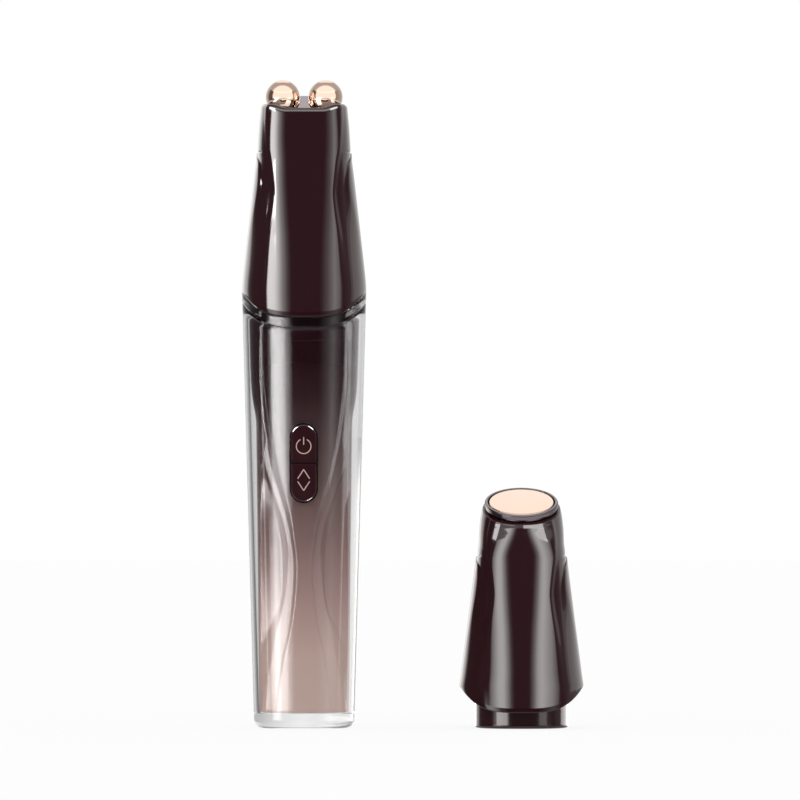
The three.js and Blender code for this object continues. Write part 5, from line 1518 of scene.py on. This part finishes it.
# The inner works: boards, cell, motor, magnets and the chassis, as the frame has them, mostly out of sight
# behind the lacquered core. Each is moulded, rolled or wound, and takes the finish of its material slot.
def board_material():
    """Dark green solder mask over copper tracks."""
    material, nodes, links, mask = new_material("board_mask")
    place = nodes.new("ShaderNodeTexCoord")
    tracks = nodes.new("ShaderNodeTexBrick")
    tracks.inputs["Color1"].default_value = (0.006, 0.035, 0.016, 1)
    tracks.inputs["Color2"].default_value = (0.008, 0.045, 0.02, 1)
    tracks.inputs["Mortar"].default_value = (0.015, 0.07, 0.03, 1)
    tracks.inputs["Scale"].default_value = 700.0
    tracks.inputs["Mortar Size"].default_value = 0.04
    links.new(place.outputs["Object"], tracks.inputs["Vector"])
    links.new(tracks.outputs["Color"], mask.inputs["Base Color"])
    polish(nodes, links, mask, 0.3, 0.2)
    return material


slot_finish = {
    "board": board_material(),
    "cell": metal_material("cell_foil", (0.5, 0.52, 0.55), 0.3, 0.3, 0.05 * MM, wave_scale=500.0),
    "ferrite": plastic_material("ferrite_grey", (0.05, 0.048, 0.047), 0.6, 0.02, 6000.0),
    "seal_rubber": plastic_material("seal_rubber", (0.018, 0.018, 0.018), 0.7, 0.01, 4000.0),
    "cream_plastic": plastic_material("cream_plastic", (0.62, 0.56, 0.46), 0.45),
    "black_plastic": plastic_material("moulded_black", (0.022, 0.02, 0.021), 0.45),
    "steel": metal_material("rolled_steel", (0.52, 0.51, 0.5), 0.28, 0.2),
    "gold": contact_gold,
    "rose_gold": rose_gold,
    "mauve_metal": bezel_metal,
    "lacquer": wine_lacquer,
    "core": core_lacquer,
    "pale_icon": icon_inlay,
    "clear_sleeve": clear_acrylic,
    "smoke_ring": smoke_acrylic,
}
for part in frame["record"]["subparts"]:
    node = frame["nodes"][part["node"]]
    for place in node.material_slots:
        place.material = slot_finish[part["material_slot"]]

# Lamps: tall softboxes and windows that each show in one kind of piece alone, as in a retouched picture,
# and one lit card between the two heads for the sleeve's right side.
receivers = {}


def softbox(name, place, size, level, target, only):
    """A rectangular lamp that faces a target; its level is what a mirror would show of it."""
    lamp = bpy.data.lights.new(name, "AREA")
    lamp.shape = "RECTANGLE"
    lamp.size, lamp.size_y = size
    lamp.energy = level * math.pi * size[0] * size[1]
    lamp.color = (1.0, 0.985, 0.97)
    box = new_object(name, lamp)
    box.location = place
    box.rotation_euler = (Vector(target) - Vector(place)).to_track_quat("-Z", "Y").to_euler()
    box.visible_camera = False
    box.visible_diffuse = False
    box.visible_transmission = False
    if only not in receivers:
        receivers[only] = bpy.data.collections.new("lit_" + only[0])
        for piece in only:
            receivers[only].objects.link(bpy.data.objects[piece])
    box.light_linking.receiver_collection = receivers[only]


def tall_softboxes(name, middle, profile, low, high, only, step=2.0, distance=1.6):
    """Narrow softboxes side by side round a piece, whose levels follow a profile of azimuth and level."""
    foot, top = (distance * math.tan(math.radians(angle)) for angle in (low, high))
    height = middle[2] + (foot + top) / 2
    count = round((profile[-1][0] - profile[0][0]) / step)
    width = 2 * distance * math.tan(math.radians((profile[-1][0] - profile[0][0]) / count) / 2)
    for i in range(count):
        azimuth = mix(profile[0][0], profile[-1][0], (i + 0.5) / count)
        before, after = next(pair for pair in zip(profile, profile[1:]) if pair[1][0] >= azimuth)
        level = mix(before[1], after[1], (azimuth - before[0]) / (after[0] - before[0]))
        turn = math.radians(azimuth)
        place = (middle[0] + distance * math.sin(turn), middle[1] - distance * math.cos(turn), height)
        softbox(name + str(i), place, (width, top - foot), level, (middle[0], middle[1], height), only)


ROLLER_MIDDLE = (0, 0, 130 * MM)
DISC_MIDDLE = (DISC_PLACE[0], 0, 32 * MM)
PLUG_MIDDLE = (DISC_PLACE[0], 0, 4 * MM)
ROLLER_STRIP = [(-59, 0), (-55, 11), (-48, 11.5), (-40, 10.5), (-34, 7.5), (-26, 3), (-18, 0.7), (-13, 0)]
DISC_LEFT_STRIP = [(-48, 0), (-44, 1.8), (-36, 3.8), (-28, 6), (-20, 6), (-14, 3), (-9, 0.6), (-6, 0)]
DISC_RIGHT_STRIP = [(7, 0), (12, 1.6), (18, 4.8), (24, 5.8), (32, 4.7), (40, 3.6), (44, 3.2), (54, 1.5),
                    (62, 0)]
ROLLER_SOFT_STRIP = [(18, 0), (30, 0.85), (44, 2.5), (54, 1.5), (62, 0)]
HEAD_LEFT_SIDE = [(-172, 0), (-164, 1.1), (-150, 1.5), (-130, 1.7), (-120, 0)]
HEAD_RIGHT_SIDE = [(88, 0), (96, 0.8), (130, 0.7), (160, 0.4), (168, 0)]
PATCH_LEVELS = (8.0, 6.5)
for head, middle in (("roller", ROLLER_MIDDLE), ("disc", DISC_MIDDLE)):
    shell = (head + "_shell_skin",)
    tall_softboxes(head + "_left_side", middle, HEAD_LEFT_SIDE, -3, 30, shell, 6.0)
    tall_softboxes(head + "_right_side", middle, HEAD_RIGHT_SIDE, -3, 30, shell, 8.0)
tall_softboxes("roller_strip", ROLLER_MIDDLE, ROLLER_STRIP, -3, 19.5, ("roller_shell_skin",))
tall_softboxes("roller_soft_strip", ROLLER_MIDDLE, ROLLER_SOFT_STRIP, -3, 33, ("roller_shell_skin",), 4.0)
tall_softboxes("disc_left_strip", DISC_MIDDLE, DISC_LEFT_STRIP, -3, 32.2, ("disc_shell_skin",))
tall_softboxes("disc_right_strip", DISC_MIDDLE, DISC_RIGHT_STRIP, -3, 32.2, ("disc_shell_skin",))
for name, start, end, level in (("left", -66, -50, PATCH_LEVELS[0]), ("right", 3, 50, PATCH_LEVELS[1])):
    patch = [(start, level), (end, level)]
    tall_softboxes("disc_patch_" + name, DISC_MIDDLE, patch, 32, 46, ("disc_shell_skin",), end - start)
plug_lights = (("far_left", -175, -105, 6.0), ("left", -48, -20, 7.0), ("right", 28, 48, 1.8),
               ("far_right", 105, 175, 3.6))
for name, start, end, level in plug_lights:
    light = [(start, level), (end, level)]
    tall_softboxes("plug_" + name, PLUG_MIDDLE, light, -6, 6, ("disc_plug_cup",), end - start)
SLEEVE_STRIP = [(-64, 0), (-60, 8), (-46, 9), (-40, 8.5), (-36, 0)]
for name, low, high, share in (("low", -13, 5.2, 1.0), ("mid", 5.2, 6.7, 0.6), ("high", 6.7, 8.2, 0.25)):
    profile = [(azimuth, level * share) for azimuth, level in SLEEVE_STRIP]
    tall_softboxes("sleeve_" + name, (0, 0, 0), profile, low, high, ("sleeve_clear",), 2.0, 0.3)
KEY_LIT = (0, -13 * MM, 70 * MM)
KEY_PIECES = ("power_key_cap", "level_key_cap")
softbox("key_left", (-0.68, -0.175, 0.64), (0.66, 0.5), 48, KEY_LIT, KEY_PIECES)
softbox("key_right", (0.57, -0.175, 0.75), (0.56, 0.46), 34, KEY_LIT, KEY_PIECES)
softbox("key_low", (0.44, -0.175, -0.7), (0.56, 0.46), 26, KEY_LIT, KEY_PIECES)
RIM_LIT = (0, -8 * MM, 154 * MM)
softbox("rim_left", (-0.58, -0.42, 0.56), (0.5, 0.62), 17, RIM_LIT, ("roller_shell_skin",))
softbox("rim_right", (0.45, -0.44, 0.7), (0.5, 0.56), 12, RIM_LIT, ("roller_shell_skin",))
softbox("post_front", (0, -0.8, 0.2), (1.2, 0.8), 1.0, RIM_LIT, ("roller_post",))
softbox("rim_top", (0, -0.7, 1.1), (1.6, 0.9), 2.2, RIM_LIT, ("roller_shell_skin",))
BALL_MIDDLE = (0, 0, BALL_HEIGHT)
BALLS = ("roller_ball_left", "roller_ball_right")
BALL_WINDOW = [(-76, 0), (-68, 1.05), (70, 1.05), (78, 0)]
BALL_WINDOW_FOOT = [(-26, 0), (-20, 0.62), (66, 0.62), (76, 0)]
tall_softboxes("ball_window", BALL_MIDDLE, BALL_WINDOW, -8, 33, BALLS, 4.0)
tall_softboxes("ball_window_foot", BALL_MIDDLE, BALL_WINDOW_FOOT, -20, -8, BALLS, 6.0)


def side_card():
    """Between the two heads: a card that only gloss shows, for the right side of the lower sleeve.

    Its glow grows to the rear and fades at its top, and its own rear is dim.
    """
    level, rear_level = 3.6, 0.5
    mesh = bpy.data.meshes.new("side_card")
    points = [(27 * MM, y * MM, z * MM) for z in (-3, 72) for y in (-15, 26)]
    mesh.from_pydata(points, [], [(0, 2, 3, 1)])
    material, nodes, links, _ = new_material("side_card")
    place = nodes.new("ShaderNodeTexCoord")
    side = nodes.new("ShaderNodeNewGeometry")
    axes = nodes.new("ShaderNodeSeparateXYZ")
    links.new(place.outputs["Object"], axes.inputs[0])

    def fade(axis, start, end, low, high):
        return map_range(nodes, links, axes.outputs[axis], start * MM, end * MM, True, low, high)

    def glow(strength):
        light = nodes.new("ShaderNodeEmission")
        light.inputs["Color"].default_value = (1.0, 0.95, 0.91, 1)
        links.new(strength, light.inputs["Strength"])
        return light

    backward = math_node(nodes, links, "MULTIPLY", fade("Y", -12, 20, 0.1, 1), level)
    front = glow(math_node(nodes, links, "MULTIPLY", backward, fade("Z", 54, 72, 1, 0)))
    rear = glow(math_node(nodes, links, "MULTIPLY", fade("Y", 2, 13, 0.02, rear_level), level))
    mixed_surface(nodes, links, side.outputs["Backfacing"], front, rear)
    mesh.materials.append(material)
    card = new_object("side_card", mesh)
    card.visible_camera = False
    card.visible_diffuse = False
    card.visible_shadow = False
    card.visible_transmission = False


side_card()
